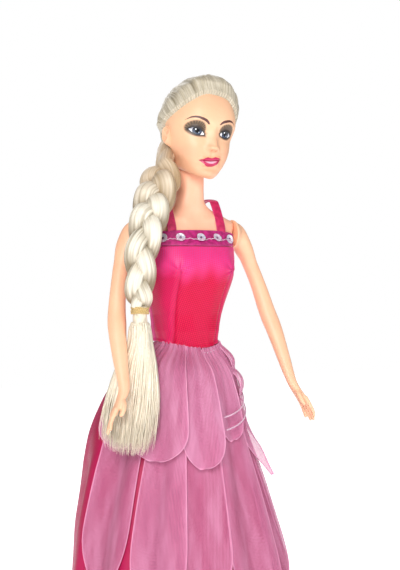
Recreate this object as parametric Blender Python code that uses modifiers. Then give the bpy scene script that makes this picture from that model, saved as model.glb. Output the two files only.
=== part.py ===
"""Fashion doll in a petal-skirted gown, with a long side braid.

The doll faces -Y, stands on its shoe soles at Z = 0, and its own left side is +X.
Angles round the body are measured from the front, positive towards the doll's left.
"""

import math

import bmesh
import bpy
from mathutils import Matrix, Vector

MM = 0.001
FULL_TURN = 360.0

# Clearances and sheet thicknesses
GAP = 0.35 * MM
RUNNING_GAP = 0.3 * MM
OVERRUN = 5.0 * MM
VINYL_WALL = 1.4 * MM
TORSO_WALL = 1.6 * MM
SATIN = 0.5 * MM
ORGANZA = 0.4 * MM
PETAL_LAP = 1.2 * MM
TIER_GAP = 1.2 * MM

# Heights that everything hangs on
HIP_HEIGHT = 150.0 * MM
TORSO_LENGTH = 100.2 * MM

# Places up the torso, as shares of TORSO_LENGTH above the hip joint
WAIST_SHARE = 34.5 / 100.2
SHOULDER_SHARE = 78.5 / 100.2
BUST_SHARE = 64.5 / 100.2
TORSO_SPLIT_SHARE = 17.0 / 100.2
BODICE_TOP_SHARE = 72.6 / 100.2
STRAP_TOP_SHARE = 92.3 / 100.2

# Torso
HIP_HALF_WIDTH = 20.0 * MM
HIP_HALF_DEPTH = 15.5 * MM
SHOULDER_HALF_WIDTH = 20.3 * MM
NECK_RADIUS = 5.4 * MM
NECK_LEAN = 1.5 * MM
BUST_RISE = 4.6 * MM
BUST_SPREAD = 6.4 * MM
BUST_OFFSET = 9.2 * MM
TORSO_ROUNDNESS = 2.25

# Rows: height share of TORSO_LENGTH, half width share of HIP_HALF_WIDTH,
# front and back depth shares of HIP_HALF_DEPTH
TORSO_SHARES = (
    (-0.090, 0.62, 0.60, 0.66),
    (0.000, 0.95, 0.90, 1.00),
    (0.080, 0.95, 0.92, 1.00),
    (0.175, 0.86, 0.84, 0.92),
    (0.250, 0.74, 0.72, 0.76),
    (0.330, 0.61, 0.65, 0.68),
    (0.400, 0.66, 0.71, 0.70),
    (0.490, 0.77, 0.80, 0.74),
    (0.575, 0.86, 0.86, 0.76),
    (0.640, 0.90, 0.86, 0.76),
    (0.710, 0.93, 0.78, 0.76),
    (0.780, 0.99, 0.62, 0.74),
    (0.830, 1.00, 0.50, 0.66),
    (0.857, 0.76, 0.44, 0.56),
    (0.878, 0.49, 0.40, 0.46),
    (0.906, 0.33, 0.37, 0.40),
    (0.950, 0.28, 0.345, 0.36),
    (1.000, 0.27, 0.345, 0.345),
)

# Neck knob, a turned plug in the top of the neck
KNOB_STEM_RADIUS = 2.9 * MM
KNOB_RADIUS = 4.7 * MM
KNOB_STEM_LENGTH = 8.0 * MM
KNOB_FLANGE_THICK = 0.9 * MM
KNOB_GROOVE_LENGTH = 5.6 * MM
HEAD_CLEARANCE = 1.2 * MM
KNOB_HEAD_LENGTH = 3.6 * MM

# Hips: a block with a thin web between the legs, and one cross pin
WEB_HALF_WIDTH = 4.4 * MM
WEB_DROP = 9.5 * MM
LEG_HEAD_RADIUS = 12.5 * MM
AXLE_RADIUS = 1.5 * MM
AXLE_HALF_LENGTH = 15.0 * MM

# Legs. Rows: height share of HIP_HEIGHT, sideways share of LEG_SPACING, half width share of
# THIGH_HALF_WIDTH, backward share and half depth share of LEG_HEAD_RADIUS
LEG_SPACING = 12.0 * MM
THIGH_HALF_WIDTH = 7.1 * MM
LEG_SHARES = (
    (0.187, 0.80, 0.42, 0.12, 0.30),
    (0.250, 0.78, 0.45, 0.11, 0.34),
    (0.345, 0.76, 0.61, 0.10, 0.45),
    (0.425, 0.75, 0.70, 0.06, 0.51),
    (0.495, 0.75, 0.67, -0.02, 0.48),
    (0.560, 0.75, 0.68, -0.08, 0.50),
    (0.615, 0.76, 0.73, -0.06, 0.56),
    (0.700, 0.80, 0.87, -0.02, 0.69),
    (0.800, 0.87, 0.95, 0.00, 0.80),
    (0.890, 0.97, 0.97, 0.00, 0.91),
    (0.950, 1.00, 0.99, 0.00, 0.97),
    (1.000, 1.00, 1.00, 0.00, 1.00),
)
LEG_TOP_STEPS = 5
LEG_SIDES = 14

# Foot rings, heel to toe. Rows: backward and height shares of HEEL_HEIGHT, tilt in degrees,
# half thickness share of HEEL_HEIGHT, half width share of FOOT_HALF_WIDTH
HEEL_HEIGHT = 18.0 * MM
FOOT_HALF_WIDTH = 4.3 * MM
FOOT_SHARES = (
    (0.075, 1.26, 6.0, 0.260, 0.84),
    (0.030, 0.985, 30.0, 0.350, 0.91),
    (-0.190, 0.715, 48.0, 0.255, 0.96),
    (-0.455, 0.465, 60.0, 0.185, 1.02),
    (-0.700, 0.310, 76.0, 0.130, 1.00),
    (-0.895, 0.248, 88.0, 0.094, 0.80),
    (-1.000, 0.232, 90.0, 0.052, 0.42),
)
SHOE_WALL = 0.9 * MM
SHOE_HALF_WIDTH = 5.2 * MM
# Side outline of sole and heel, as shares of HEEL_HEIGHT (backward, up)
SOLE_SHARES = (
    (-1.10, 0.00), (-0.55, 0.00), (-0.22, 0.17), (0.10, 0.42), (0.33, 0.50),
    (0.36, 0.00), (0.56, 0.00), (0.52, 0.52), (0.46, 0.86), (0.28, 0.98),
    (-0.30, 0.66), (-0.75, 0.32), (-1.12, 0.20),
)
# Side outline of what is cut away above the shoe's top line
TOPLINE_SHARES = ((-0.60, 0.62), (0.05, 0.90), (0.80, 1.22), (0.80, 2.40), (-0.60, 2.40), (-0.90, 0.95))

# Arms. Rows: drop, outward and forward shares of ARM_DROP from the shoulder joint's outer face,
# half breadth and half thickness shares of SHOULDER_CAP_RADIUS
ARM_DROP = 78.0 * MM
SHOULDER_CAP_RADIUS = 5.6 * MM
CAP_INSET = 0.5 * MM
ARM_TWIST = math.radians(40.0)
ARM_SHARES = (
    (-0.062, 0.036, -0.016, 0.16, 0.14),
    (-0.045, 0.040, -0.018, 0.40, 0.34),
    (-0.015, 0.046, -0.020, 0.58, 0.48),
    (0.022, 0.054, -0.018, 0.64, 0.54),
    (0.077, 0.078, -0.012, 0.63, 0.55),
    (0.147, 0.107, 0.002, 0.57, 0.51),
    (0.276, 0.145, 0.040, 0.55, 0.51),
    (0.401, 0.171, 0.079, 0.62, 0.55),
    (0.468, 0.183, 0.108, 0.66, 0.57),
    (0.528, 0.192, 0.138, 0.61, 0.53),
    (0.654, 0.204, 0.201, 0.52, 0.43),
    (0.779, 0.215, 0.267, 0.38, 0.33),
    (0.827, 0.238, 0.279, 0.46, 0.30),
    (0.878, 0.272, 0.290, 0.59, 0.27),
    (0.929, 0.303, 0.297, 0.54, 0.23),
    (0.974, 0.326, 0.303, 0.39, 0.20),
    (1.000, 0.336, 0.305, 0.14, 0.11),
)
# Half profile of the shoulder cap, turned about the joint: radius and outward shares of
# SHOULDER_CAP_RADIUS
CAP_SHARES = (
    (0.92, 0.00), (1.00, 0.08), (0.98, 0.22), (0.88, 0.38), (0.72, 0.50), (0.46, 0.60), (0.16, 0.65),
)
THUMB_RADIUS = 1.1 * MM
THUMB_SHARES = ((0.820, 0.010, 0.020), (0.905, 0.018, 0.062))
PEG_RADIUS = 3.2 * MM
PEG_HEAD_RADIUS = 4.3 * MM
PEG_HEAD_LENGTH = 1.4 * MM
PEG_REACH = 6.0 * MM

# Head. Radii are shares of CROWN_RADIUS, from the centre of the skull. Rows: angle from the
# crown in degrees, front share, side share, back share
CROWN_RADIUS = 20.0 * MM
SKULL_ABOVE_NECK = 17.0 * MM
HEAD_YAW = math.radians(4.0)
HEAD_LEAN = math.radians(10.5)
HEAD_NOD = math.radians(3.5)
HEAD_SHARES = (
    (0.0, 1.000, 1.000, 1.000),
    (20.0, 0.990, 0.955, 0.985),
    (40.0, 0.945, 0.855, 0.935),
    (60.0, 0.880, 0.765, 0.885),
    (80.0, 0.795, 0.715, 0.825),
    (90.0, 0.770, 0.703, 0.790),
    (100.0, 0.760, 0.700, 0.755),
    (115.0, 0.795, 0.705, 0.705),
    (128.0, 0.900, 0.705, 0.665),
    (135.0, 1.030, 0.705, 0.650),
    (141.0, 1.125, 0.715, 0.650),
    (147.0, 1.140, 0.750, 0.720),
    (152.0, 1.065, 0.800, 0.790),
    (157.0, 0.950, 0.840, 0.845),
    (162.0, 0.872, 0.843, 0.846),
    (167.0, 0.840, 0.840, 0.840),
)
NECK_HOLE_ANGLE = 165.5
HEAD_ROUNDNESS = 2.2
# Face forms. Rows: sideways and height above the neck as shares of CROWN_RADIUS, their
# spreads as shares of it, forward rise as a share of it, mirrored or not
FACE_SHARES = (
    (0.000, 0.575, 0.060, 0.085, 0.125, False),
    (0.000, 0.700, 0.055, 0.120, 0.055, False),
    (0.070, 0.535, 0.050, 0.040, 0.040, True),
    (0.000, 0.290, 0.180, 0.075, 0.050, False),
    (0.000, 0.040, 0.160, 0.100, 0.045, False),
    (0.330, 0.480, 0.170, 0.150, 0.030, True),
    (0.320, 0.820, 0.150, 0.085, -0.045, True),
)
EAR_WIDTH = 1.2 * MM
EAR_HEIGHT = 6.4 * MM
EAR_DEPTH = 3.8 * MM
EAR_POLAR = 95.0
EAR_ANGLE = 93.0

# Hair cap: hairline angle from the crown at angles from the front, in degrees
HAIR_CLEARANCE = 0.7 * MM
HAIR_THICKNESS = 1.9 * MM
HAIR_EDGE_SHARE = 0.35
HAIRLINE_DEGREES = ((0.0, 36.0), (25.0, 39.0), (50.0, 52.0), (72.0, 64.0), (88.0, 72.0),
                    (100.0, 82.0), (113.0, 103.0), (135.0, 119.0), (180.0, 125.0))

# Braid: three strands woven along a centre line over the right shoulder
BRAID_DROP = 60.0 * MM
BRAID_RISE_SHARE = 60.0 / 21.7
BRAID_PERIOD = 34.0 * MM
BRAID_TOP_SPREAD = 5.0 * MM
BRAID_END_SPREAD = 3.0 * MM
STRAND_SHARE = 0.43
STRAND_DEPTH_SHARE = 0.39
WEAVE_DEPTH_SHARE = 0.62
BRAID_RINGS = 31
# Rows: right and forward as shares of SHOULDER_HALF_WIDTH, height above the shoulder as a share
# of BRAID_DROP, or of BRAID_RISE where it is above it, and the way the braid faces, in degrees
# from the front to the right
BRAID_SHARES = (
    (0.57, 0.07, 0.425, 66.0),
    (0.72, 0.25, 0.335, 52.0),
    (0.91, 0.42, 0.235, 42.0),
    (1.08, 0.57, 0.135, 34.0),
    (1.20, 0.67, 0.042, 30.0),
    (1.34, 0.74, -0.105, 28.0),
    (1.39, 0.76, -0.250, 27.0),
    (1.40, 0.76, -0.400, 27.0),
    (1.40, 0.76, -0.495, 27.0),
)
# Gathered hair above the braid. Rows: right, back and rise above the braid's top, half width and
# half height, all as shares of SHOULDER_HALF_WIDTH
STRAND_LIFT = 1.8 * MM
ROOT_SHARES = (
    (0.02, 0.66, 0.04, 0.17, 0.14),
    (0.22, 0.62, 0.03, 0.18, 0.17),
    (0.40, 0.48, 0.03, 0.17, 0.16),
    (0.52, 0.28, 0.04, 0.16, 0.15),
    (0.56, 0.06, 0.02, 0.16, 0.14),
)
TIE_RADIUS = 3.3 * MM
TIE_DEPTH = 3.0 * MM
TIE_THREAD_RADIUS = 0.38 * MM
TIE_THREAD_GAP = 0.45 * MM
TIE_TURNS = 2
BOUND_END_SINK = 1.45 * MM
TIE_STEPS = 12
# Loose hair below the tie. Rows: right, forward and drop shares of SHOULDER_HALF_WIDTH,
# SHOULDER_HALF_WIDTH and BRAID_DROP, half width and half thickness shares of TAIL_HALF_WIDTH
TAIL_HALF_WIDTH = 11.0 * MM
TAIL_SHARES = (
    (1.400, 0.755, 0.600, 0.27, 0.23),
    (1.385, 0.730, 0.665, 0.30, 0.25),
    (1.380, 0.705, 0.742, 0.34, 0.26),
    (1.430, 0.650, 0.875, 0.52, 0.30),
    (1.620, 0.680, 1.075, 0.84, 0.31),
    (1.820, 0.770, 1.275, 0.98, 0.30),
    (1.920, 0.840, 1.440, 0.86, 0.24),
    (1.950, 0.870, 1.540, 0.60, 0.10),
)

# Bodice, neckline band, straps and sequins
BODICE_DIP = 2.6 * MM
BAND_HEIGHT = 6.2 * MM
BAND_HALF_ANGLE = 62.0
BAND_THICK = 0.6 * MM
BAND_NARROWING_SHARE = 0.18
STRAP_WIDTH = 3.8 * MM
STRAP_THICK = 0.5 * MM
STRAP_OFFSET = 11.2 * MM
# Strap corners: rises above the band in strap widths at the front, then how far back from front
# to back and how far down in strap widths over the shoulder
STRAP_FRONT_SHARES = (0.0, 0.5)
STRAP_TOP_SHARES = ((0.28, 0.32), (0.42, 0.03), (0.50, 0.0), (0.86, 0.25), (0.97, 1.0))
BACK_OPENING = 0.6 * MM
CLOSURE_HALF_ANGLE = 14.0
CLOSURE_THICK = 0.5 * MM
SEQUIN_RADIUS = 1.85 * MM
SEQUIN_THICK = 0.35 * MM
SEQUIN_HOLE_RADIUS = 0.45 * MM
SEQUIN_COUNT = 5
SEQUIN_STEP_DEGREES = 23.0
THREAD_RADIUS = 0.16 * MM
WAIST_TAPE_HEIGHT = 3.4 * MM
WAIST_TAPE_THICK = 0.5 * MM

# Skirt. Half profiles: rows of drop below the waist as a share of SKIRT_LENGTH, then radius as
# a share of SKIRT_RADIUS at five angles round the body
SKIRT_LENGTH = 120.5 * MM
SKIRT_RADIUS = 50.0 * MM
SKIRT_ANGLES = (-180.0, -120.0, -75.0, -20.0, 63.0, 125.0, 180.0)
SKIRT_SHARES = (
    (0.000, 0.232, 0.246, 0.268, 0.232, 0.250, 0.246, 0.232),
    (0.035, 0.330, 0.360, 0.335, 0.285, 0.285, 0.325, 0.330),
    (0.090, 0.455, 0.490, 0.425, 0.370, 0.335, 0.410, 0.455),
    (0.160, 0.570, 0.620, 0.480, 0.445, 0.375, 0.470, 0.570),
    (0.240, 0.640, 0.680, 0.520, 0.510, 0.405, 0.520, 0.640),
    (0.350, 0.710, 0.730, 0.590, 0.580, 0.480, 0.600, 0.710),
    (0.500, 0.790, 0.780, 0.700, 0.670, 0.600, 0.700, 0.790),
    (0.750, 0.900, 0.880, 0.840, 0.810, 0.780, 0.840, 0.900),
    (1.000, 1.000, 1.000, 0.960, 0.940, 0.920, 0.960, 1.000),
)
FOLD_COUNT = 11
FOLD_SHARE = 0.045
UNDERSKIRT_ROWS = 9
# Petals. Rows: name, centre angle and width in degrees, and the length as a share of SKIRT_LENGTH
UPPER_PETAL_SHARES = (
    ("right_side", -84.0, 40.0, 0.395),
    ("right_front", -51.5, 52.0, 0.430),
    ("centre_front", -12.0, 37.0, 0.455),
    ("left_front", 19.0, 34.0, 0.330),
    ("left_side", 50.0, 40.0, 0.400),
    ("left_back", 90.0, 42.0, 0.300),
)
LOWER_PETAL_SHARES = (
    ("right_side", -88.0, 46.0, 0.800),
    ("right_front", -43.0, 38.0, 0.850),
    ("centre_front", 15.0, 40.0, 0.860),
    ("left_front", 47.0, 38.0, 0.830),
    ("left_side", 80.0, 42.0, 0.800),
)
LOWER_TOP_SHARE = 0.016
UPPER_TOP_SHARE = 0.032
PETAL_ROWS = 7
PETAL_COLUMNS = 8
SIDE_THREAD_DROP_SHARES = (0.205, 0.255)
SIDE_THREAD_ANGLES = (6.0, 92.0)
SIDE_THREAD_RADIUS = 0.3 * MM

SHOULDER_HEIGHT = HIP_HEIGHT + SHOULDER_SHARE * TORSO_LENGTH
WAIST_HEIGHT = HIP_HEIGHT + WAIST_SHARE * TORSO_LENGTH
BUST_HEIGHT = HIP_HEIGHT + BUST_SHARE * TORSO_LENGTH
BODICE_TOP = HIP_HEIGHT + BODICE_TOP_SHARE * TORSO_LENGTH
STRAP_TOP = HIP_HEIGHT + STRAP_TOP_SHARE * TORSO_LENGTH
NECK_TOP = HIP_HEIGHT + TORSO_LENGTH
NECK_PIVOT = NECK_TOP + GAP + KNOB_FLANGE_THICK + HEAD_CLEARANCE
TORSO_SPLIT = HIP_HEIGHT + TORSO_SPLIT_SHARE * TORSO_LENGTH
BRAID_RISE = BRAID_RISE_SHARE * (NECK_TOP - SHOULDER_HEIGHT)
SKULL_CENTRE = Vector((0.0, 0.0, SKULL_ABOVE_NECK))


def clear_scene():
    for obj in list(bpy.data.objects):
        bpy.data.objects.remove(obj)


def new_collection(name):
    made = bpy.data.collections.new(name)
    bpy.context.scene.collection.children.link(made)
    return made


def new_material(name, colour, roughness, metallic=0.0):
    made = bpy.data.materials.new(name)
    made.use_nodes = True
    shader = made.node_tree.nodes["Principled BSDF"]
    shader.inputs["Base Color"].default_value = (*colour, 1.0)
    shader.inputs["Roughness"].default_value = roughness
    shader.inputs["Metallic"].default_value = metallic
    made.diffuse_color = (*colour, 1.0)
    return made


def smooth_values(rows, at):
    """The values of rows of (place, value, ...) at a place, on a smooth curve through them."""
    if at <= rows[0][0]:
        return list(rows[0][1:])
    if at >= rows[-1][0]:
        return list(rows[-1][1:])
    k = next(i for i in range(len(rows) - 1) if rows[i + 1][0] >= at)
    before, low, high, after = rows[max(k - 1, 0)], rows[k], rows[k + 1], rows[min(k + 2, len(rows) - 1)]
    span = high[0] - low[0]
    t = (at - low[0]) / span
    found = []
    for a, b, c, d in zip(before[1:], low[1:], high[1:], after[1:]):
        rise_low = (c - a) / max(high[0] - before[0], span) * span
        rise_high = (d - b) / max(after[0] - low[0], span) * span
        found.append(
            (2 * t**3 - 3 * t**2 + 1) * b + (t**3 - 2 * t**2 + t) * rise_low
            + (3 * t**2 - 2 * t**3) * c + (t**3 - t**2) * rise_high
        )
    return found


def around(angle):
    """The unit vector at an angle in degrees from the front, positive to the doll's left."""
    a = math.radians(angle)
    return Vector((math.sin(a), -math.cos(a), 0.0))


def signed_power(value, power):
    return math.copysign(abs(value) ** power, value)


def mesh_object(name, points, faces, material, collection):
    mesh = bpy.data.meshes.new(name)
    mesh.from_pydata([tuple(p) for p in points], [], faces)
    mesh.update()
    obj = bpy.data.objects.new(name, mesh)
    obj.data.materials.append(material)
    collection.objects.link(obj)
    mesh.shade_smooth()
    return obj


def grid_faces(rows, columns, wrap):
    faces = []
    for r in range(rows - 1):
        for c in range(columns if wrap else columns - 1):
            d = (c + 1) % columns
            faces.append((r * columns + c, r * columns + d, (r + 1) * columns + d, (r + 1) * columns + c))
    return faces


def loft(name, rings, material, collection):
    """A closed solid through rings of equal count, with flat ends."""
    columns = len(rings[0])
    points = [p for ring in rings for p in ring]
    faces = grid_faces(len(rings), columns, True)
    faces.append(tuple(reversed(range(columns))))
    faces.append(tuple(range((len(rings) - 1) * columns, len(rings) * columns)))
    obj = mesh_object(name, points, faces, material, collection)
    face_outward(obj)
    return obj


def face_outward(obj):
    work = bmesh.new()
    work.from_mesh(obj.data)
    bmesh.ops.recalc_face_normals(work, faces=work.faces)
    work.to_mesh(obj.data)
    work.free()


def sheet(name, rows, wrap, thickness, material, collection, outward=True):
    """A sheet of even thickness on an open grid whose faces point out of the body."""
    columns = len(rows[0])
    points = [p for row in rows for p in row]
    obj = mesh_object(name, points, grid_faces(len(rows), columns, wrap), material, collection)
    solid = obj.modifiers.new("thickness", "SOLIDIFY")
    solid.thickness = thickness
    solid.offset = 1.0 if outward else -1.0
    solid.use_even_offset = False
    return obj


def ring_at(centre, side, depth, half_side, half_depth, count, power=2.0):
    ring = []
    for i in range(count):
        a = 2 * math.pi * i / count
        c = signed_power(math.cos(a), 2 / power)
        s = signed_power(math.sin(a), 2 / power)
        ring.append(centre + side * (half_side * c) + depth * (half_depth * s))
    return ring


def tube(name, points, radius, material, collection, sides=2):
    """A round thread or wire on a poly spline, as a closed mesh with its caps welded."""
    curve = bpy.data.curves.new(name, "CURVE")
    curve.dimensions = "3D"
    curve.bevel_depth = radius
    curve.bevel_resolution = sides
    curve.use_fill_caps = True
    spline = curve.splines.new("POLY")
    spline.points.add(len(points) - 1)
    for knot, p in zip(spline.points, points):
        knot.co = (*p, 1.0)
    obj = bpy.data.objects.new(name, curve)
    obj.data.materials.append(material)
    collection.objects.link(obj)
    return obj


def carve(obj, cutter, operation="DIFFERENCE"):
    cut = obj.modifiers.new(cutter.name, "BOOLEAN")
    cut.operation = operation
    cut.object = cutter
    cutter.hide_render = True
    cutter.display_type = "WIRE"


def box_cutter(name, low, high, collection):
    bpy.ops.mesh.primitive_cube_add(size=1.0)
    obj = bpy.context.active_object
    obj.name = name
    for v in obj.data.vertices:
        v.co = Vector(low[i] + (v.co[i] + 0.5) * (high[i] - low[i]) for i in range(3))
    move_to(obj, collection)
    return obj


def move_to(obj, collection):
    for holder in list(obj.users_collection):
        holder.objects.unlink(obj)
    collection.objects.link(obj)


def rod(name, start, end, radius, material, collection, sides=16):
    """A round rod between two points, from a cylinder primitive."""
    along = end - start
    bpy.ops.mesh.primitive_cylinder_add(vertices=sides, radius=radius, depth=along.length)
    obj = bpy.context.active_object
    obj.name = name
    turn = along.to_track_quat("Z", "Y").to_matrix().to_4x4()
    obj.data.transform(Matrix.Translation((start + end) / 2) @ turn)
    move_to(obj, collection)
    if material:
        obj.data.materials.append(material)
    obj.data.shade_smooth()
    return obj


def turned(name, profile, x, material, collection, steps=24):
    """A shape turned about an upright line at X from (radius, height) points, bottom to top."""
    rings = [ring_at(Vector((x, 0, z)), Vector((1, 0, 0)), Vector((0, 1, 0)), r, r, steps) for r, z in profile]
    return loft(name, rings, material, collection)


def torso_sizes(height, gap=0.0):
    share = (height - HIP_HEIGHT) / TORSO_LENGTH
    width, front, back = smooth_values(TORSO_SHARES, share)
    return width * HIP_HALF_WIDTH + gap, front * HIP_HALF_DEPTH + gap, back * HIP_HALF_DEPTH + gap


def neck_lean(height):
    """The neck leans a little to the doll's left."""
    share = max(0.0, min(1.0, (height - SHOULDER_HEIGHT) / (NECK_TOP - SHOULDER_HEIGHT)))
    return NECK_LEAN * share * share * (3 - 2 * share)


def torso_point(height, angle, gap=0.0):
    """A point of the torso's skin, moved out by a gap, at an angle from the front."""
    width, front, back = torso_sizes(height, gap)
    way = around(angle)
    x = signed_power(way.x, 2 / TORSO_ROUNDNESS) * width
    y = signed_power(way.y, 2 / TORSO_ROUNDNESS) * (front if way.y < 0 else back)
    if way.y < 0:
        for side in (-1, 1):
            across = (x - side * BUST_OFFSET) / BUST_SPREAD
            up = (height - BUST_HEIGHT) / BUST_SPREAD
            y -= BUST_RISE * math.exp(-(across**2 + up**2) / 2) * min(1.0, -2 * way.y)
    return Vector((x + neck_lean(height), y, height))


def spread(low, high, count):
    return [low + (high - low) * i / (count - 1) for i in range(count)]


def full_turn(count):
    """Angles once round, in degrees, without the last, which is the first again."""
    return [FULL_TURN * i / count for i in range(count)]


def build_torso(parts, skin):
    """Front and back shells that meet at the side seam."""
    heights = [TORSO_SPLIT + (NECK_TOP - TORSO_SPLIT) * s
               for s in (0.0, 0.09, 0.18, 0.24, 0.32, 0.40, 0.48, 0.56, 0.63, 0.70, 0.755, 0.80,
                         0.835, 0.87, 0.91, 1.0)]
    for name, middle in (("torso_front", 0.0), ("torso_back", 180.0)):
        rows = []
        for z in heights:
            reach = 90.0 - math.degrees(GAP / torso_sizes(z)[0])
            angles = [-reach, *spread(3 - reach, reach - 3, 11), reach]
            rows.append([torso_point(z, middle + a) for a in angles])
        sheet(name, rows, False, TORSO_WALL, skin, parts, outward=False)


def build_neck_knob(parts, plastic):
    z0 = NECK_TOP - KNOB_STEM_LENGTH
    groove = NECK_PIVOT - HEAD_CLEARANCE
    crown = groove + KNOB_GROOVE_LENGTH
    profile = (
        (KNOB_STEM_RADIUS, z0), (KNOB_STEM_RADIUS, NECK_TOP + GAP),
        (NECK_RADIUS, NECK_TOP + GAP), (NECK_RADIUS, groove), (KNOB_STEM_RADIUS, groove),
        (KNOB_STEM_RADIUS, crown), (KNOB_RADIUS, crown), (KNOB_RADIUS, crown + KNOB_HEAD_LENGTH / 2),
        (KNOB_RADIUS / 2, crown + KNOB_HEAD_LENGTH),
    )
    turned("neck_knob", profile, NECK_LEAN, plastic, parts, steps=16)


def build_hips(parts, cutters, skin, steel):
    slab_bottom = HIP_HEIGHT + LEG_HEAD_RADIUS + GAP
    low = HIP_HEIGHT - WEB_DROP
    heights = spread(low, TORSO_SPLIT - GAP - TORSO_WALL / 2, 7)
    rings = [[torso_point(z, a) for a in full_turn(24)] for z in heights]
    block = loft("hip_block", rings, skin, parts)
    reach = HIP_HALF_WIDTH * 2
    for side in (-1, 1):
        xs = sorted((side * WEB_HALF_WIDTH, side * reach))
        cutter = box_cutter(f"leg_room_{side}", (xs[0], -reach, low - OVERRUN), (xs[1], reach, slab_bottom), cutters)
        carve(block, cutter)
    half = AXLE_HALF_LENGTH + OVERRUN
    bore = rod("web_bore", Vector((-half, 0, HIP_HEIGHT)), Vector((half, 0, HIP_HEIGHT)),
               AXLE_RADIUS + RUNNING_GAP, None, cutters)
    carve(block, bore)
    rod("hip_pin", Vector((-AXLE_HALF_LENGTH, 0, HIP_HEIGHT)), Vector((AXLE_HALF_LENGTH, 0, HIP_HEIGHT)),
        AXLE_RADIUS, steel, parts, sides=12)


def leg_rings(side):
    rings = []
    for back, up, tilt, thick, width in reversed(FOOT_SHARES):
        rings.append(foot_ring(side, back, up, tilt, thick, width, 0.0))
    for share, sideways, width, back, depth in LEG_SHARES:
        centre = Vector((side * sideways * LEG_SPACING, back * LEG_HEAD_RADIUS, share * HIP_HEIGHT))
        rings.append(ring_at(centre, Vector((1, 0, 0)), Vector((0, 1, 0)), width * THIGH_HALF_WIDTH,
                             depth * LEG_HEAD_RADIUS, LEG_SIDES))
    for i in range(1, LEG_TOP_STEPS + 1):
        rise = math.radians(78.0 * i / LEG_TOP_STEPS)
        centre = Vector((side * LEG_SPACING, 0, HIP_HEIGHT + LEG_HEAD_RADIUS * math.sin(rise)))
        narrow = THIGH_HALF_WIDTH * (1 - 0.25 * (i / LEG_TOP_STEPS) ** 3)
        rings.append(ring_at(centre, Vector((1, 0, 0)), Vector((0, 1, 0)), narrow,
                             LEG_HEAD_RADIUS * math.cos(rise), LEG_SIDES))
    return rings


def foot_ring(side, back, up, tilt, thick, width, grow):
    turn = math.radians(tilt)
    ankle = LEG_SHARES[0][1] * LEG_SPACING
    centre = Vector((side * ankle, back * HEEL_HEIGHT, up * HEEL_HEIGHT))
    down = Vector((0, math.cos(turn), -math.sin(turn)))
    return ring_at(centre, Vector((1, 0, 0)), down, width * FOOT_HALF_WIDTH + grow, thick * HEEL_HEIGHT + grow, LEG_SIDES)


def build_leg(side, word, parts, cutters, skin):
    leg = loft(f"leg_{word}", leg_rings(side), skin, parts)
    inner, outer = WEB_HALF_WIDTH, AXLE_HALF_LENGTH + GAP
    bore = rod(f"leg_bore_{word}", Vector((side * (inner - OVERRUN), 0, HIP_HEIGHT)),
               Vector((side * outer, 0, HIP_HEIGHT)), AXLE_RADIUS + RUNNING_GAP, None, cutters)
    carve(leg, bore)
    return leg


def flat_outline(name, shares, unit, side, half_width, collection, material=None):
    """A side outline in Y and Z, given as shares of a unit, extruded across X about the ankle."""
    ankle = side * LEG_SHARES[0][1] * LEG_SPACING
    rings = [[Vector((ankle + x, y * unit, z * unit)) for y, z in shares] for x in (-half_width, half_width)]
    return loft(name, rings, material, collection)


def build_shoe(side, word, parts, cutters, plastic):
    room = 2 * GAP
    grow = SHOE_WALL + room
    outer = [foot_ring(side, *row, grow) for row in reversed(FOOT_SHARES)]
    toe = Vector((0, -1, 0))
    outer.insert(0, [p + toe * grow for p in foot_ring(side, *FOOT_SHARES[-1], 0.0)])
    shoe = loft(f"shoe_{word}", outer, plastic, parts)
    sole = flat_outline(f"sole_{word}", SOLE_SHARES, HEEL_HEIGHT, side, SHOE_HALF_WIDTH * 0.72, cutters, plastic)
    carve(shoe, sole, "UNION")
    inner = [foot_ring(side, *row, room) for row in reversed(FOOT_SHARES)]
    inner.insert(0, [p + toe * room for p in foot_ring(side, *FOOT_SHARES[-1], 0.0)])
    ankle = Vector((0, 0, HEEL_HEIGHT))
    inner.append([p + ankle for p in inner[-1]])
    carve(shoe, loft(f"foot_room_{word}", inner, plastic, cutters))
    top = flat_outline(f"topline_{word}", TOPLINE_SHARES, HEEL_HEIGHT, side, SHOE_HALF_WIDTH * 2, cutters, plastic)
    carve(shoe, top)
    below = HEEL_HEIGHT * 2
    ground = box_cutter(f"ground_{word}", (-below, -below, -below), (below, below, 0.0), cutters)
    carve(shoe, ground)


def arm_place(side, drop, outward, forward):
    """A point of the arm, from shares of its drop."""
    face = SHOULDER_HALF_WIDTH + CAP_INSET
    return Vector((side * (face + outward * ARM_DROP), -forward * ARM_DROP, SHOULDER_HEIGHT - drop * ARM_DROP))


def arm_rings(side):
    """Rings of an arm, from inside the shoulder cap to the fingertips."""
    least = SHOULDER_HALF_WIDTH + CAP_INSET + GAP
    rings = []
    for drop, outward, forward, breadth, thick in ARM_SHARES:
        turn = ARM_TWIST * max(0.0, min(1.0, drop * 4))
        across = Vector((side * math.sin(turn), math.cos(turn), 0))
        level = Vector((side * math.cos(turn), -math.sin(turn), 0))
        ring = ring_at(arm_place(side, drop, outward, forward), across, level,
                       breadth * SHOULDER_CAP_RADIUS, thick * SHOULDER_CAP_RADIUS, 12)
        for p in ring:
            p.x = side * max(side * p.x, least)
        rings.append(ring)
    return rings


def shoulder_cap(side, word, cutters, skin):
    """The arm's rounded top, turned about the shoulder joint, with a flat face to the body."""
    face = SHOULDER_HALF_WIDTH + CAP_INSET
    rings = []
    for radius, out in CAP_SHARES:
        centre = Vector((side * (face + out * SHOULDER_CAP_RADIUS), 0, SHOULDER_HEIGHT))
        size = radius * SHOULDER_CAP_RADIUS
        rings.append(ring_at(centre, Vector((0, 1, 0)), Vector((0, 0, 1)), size, size, 16))
    return loft(f"shoulder_cap_{word}", rings, skin, cutters)


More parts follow.
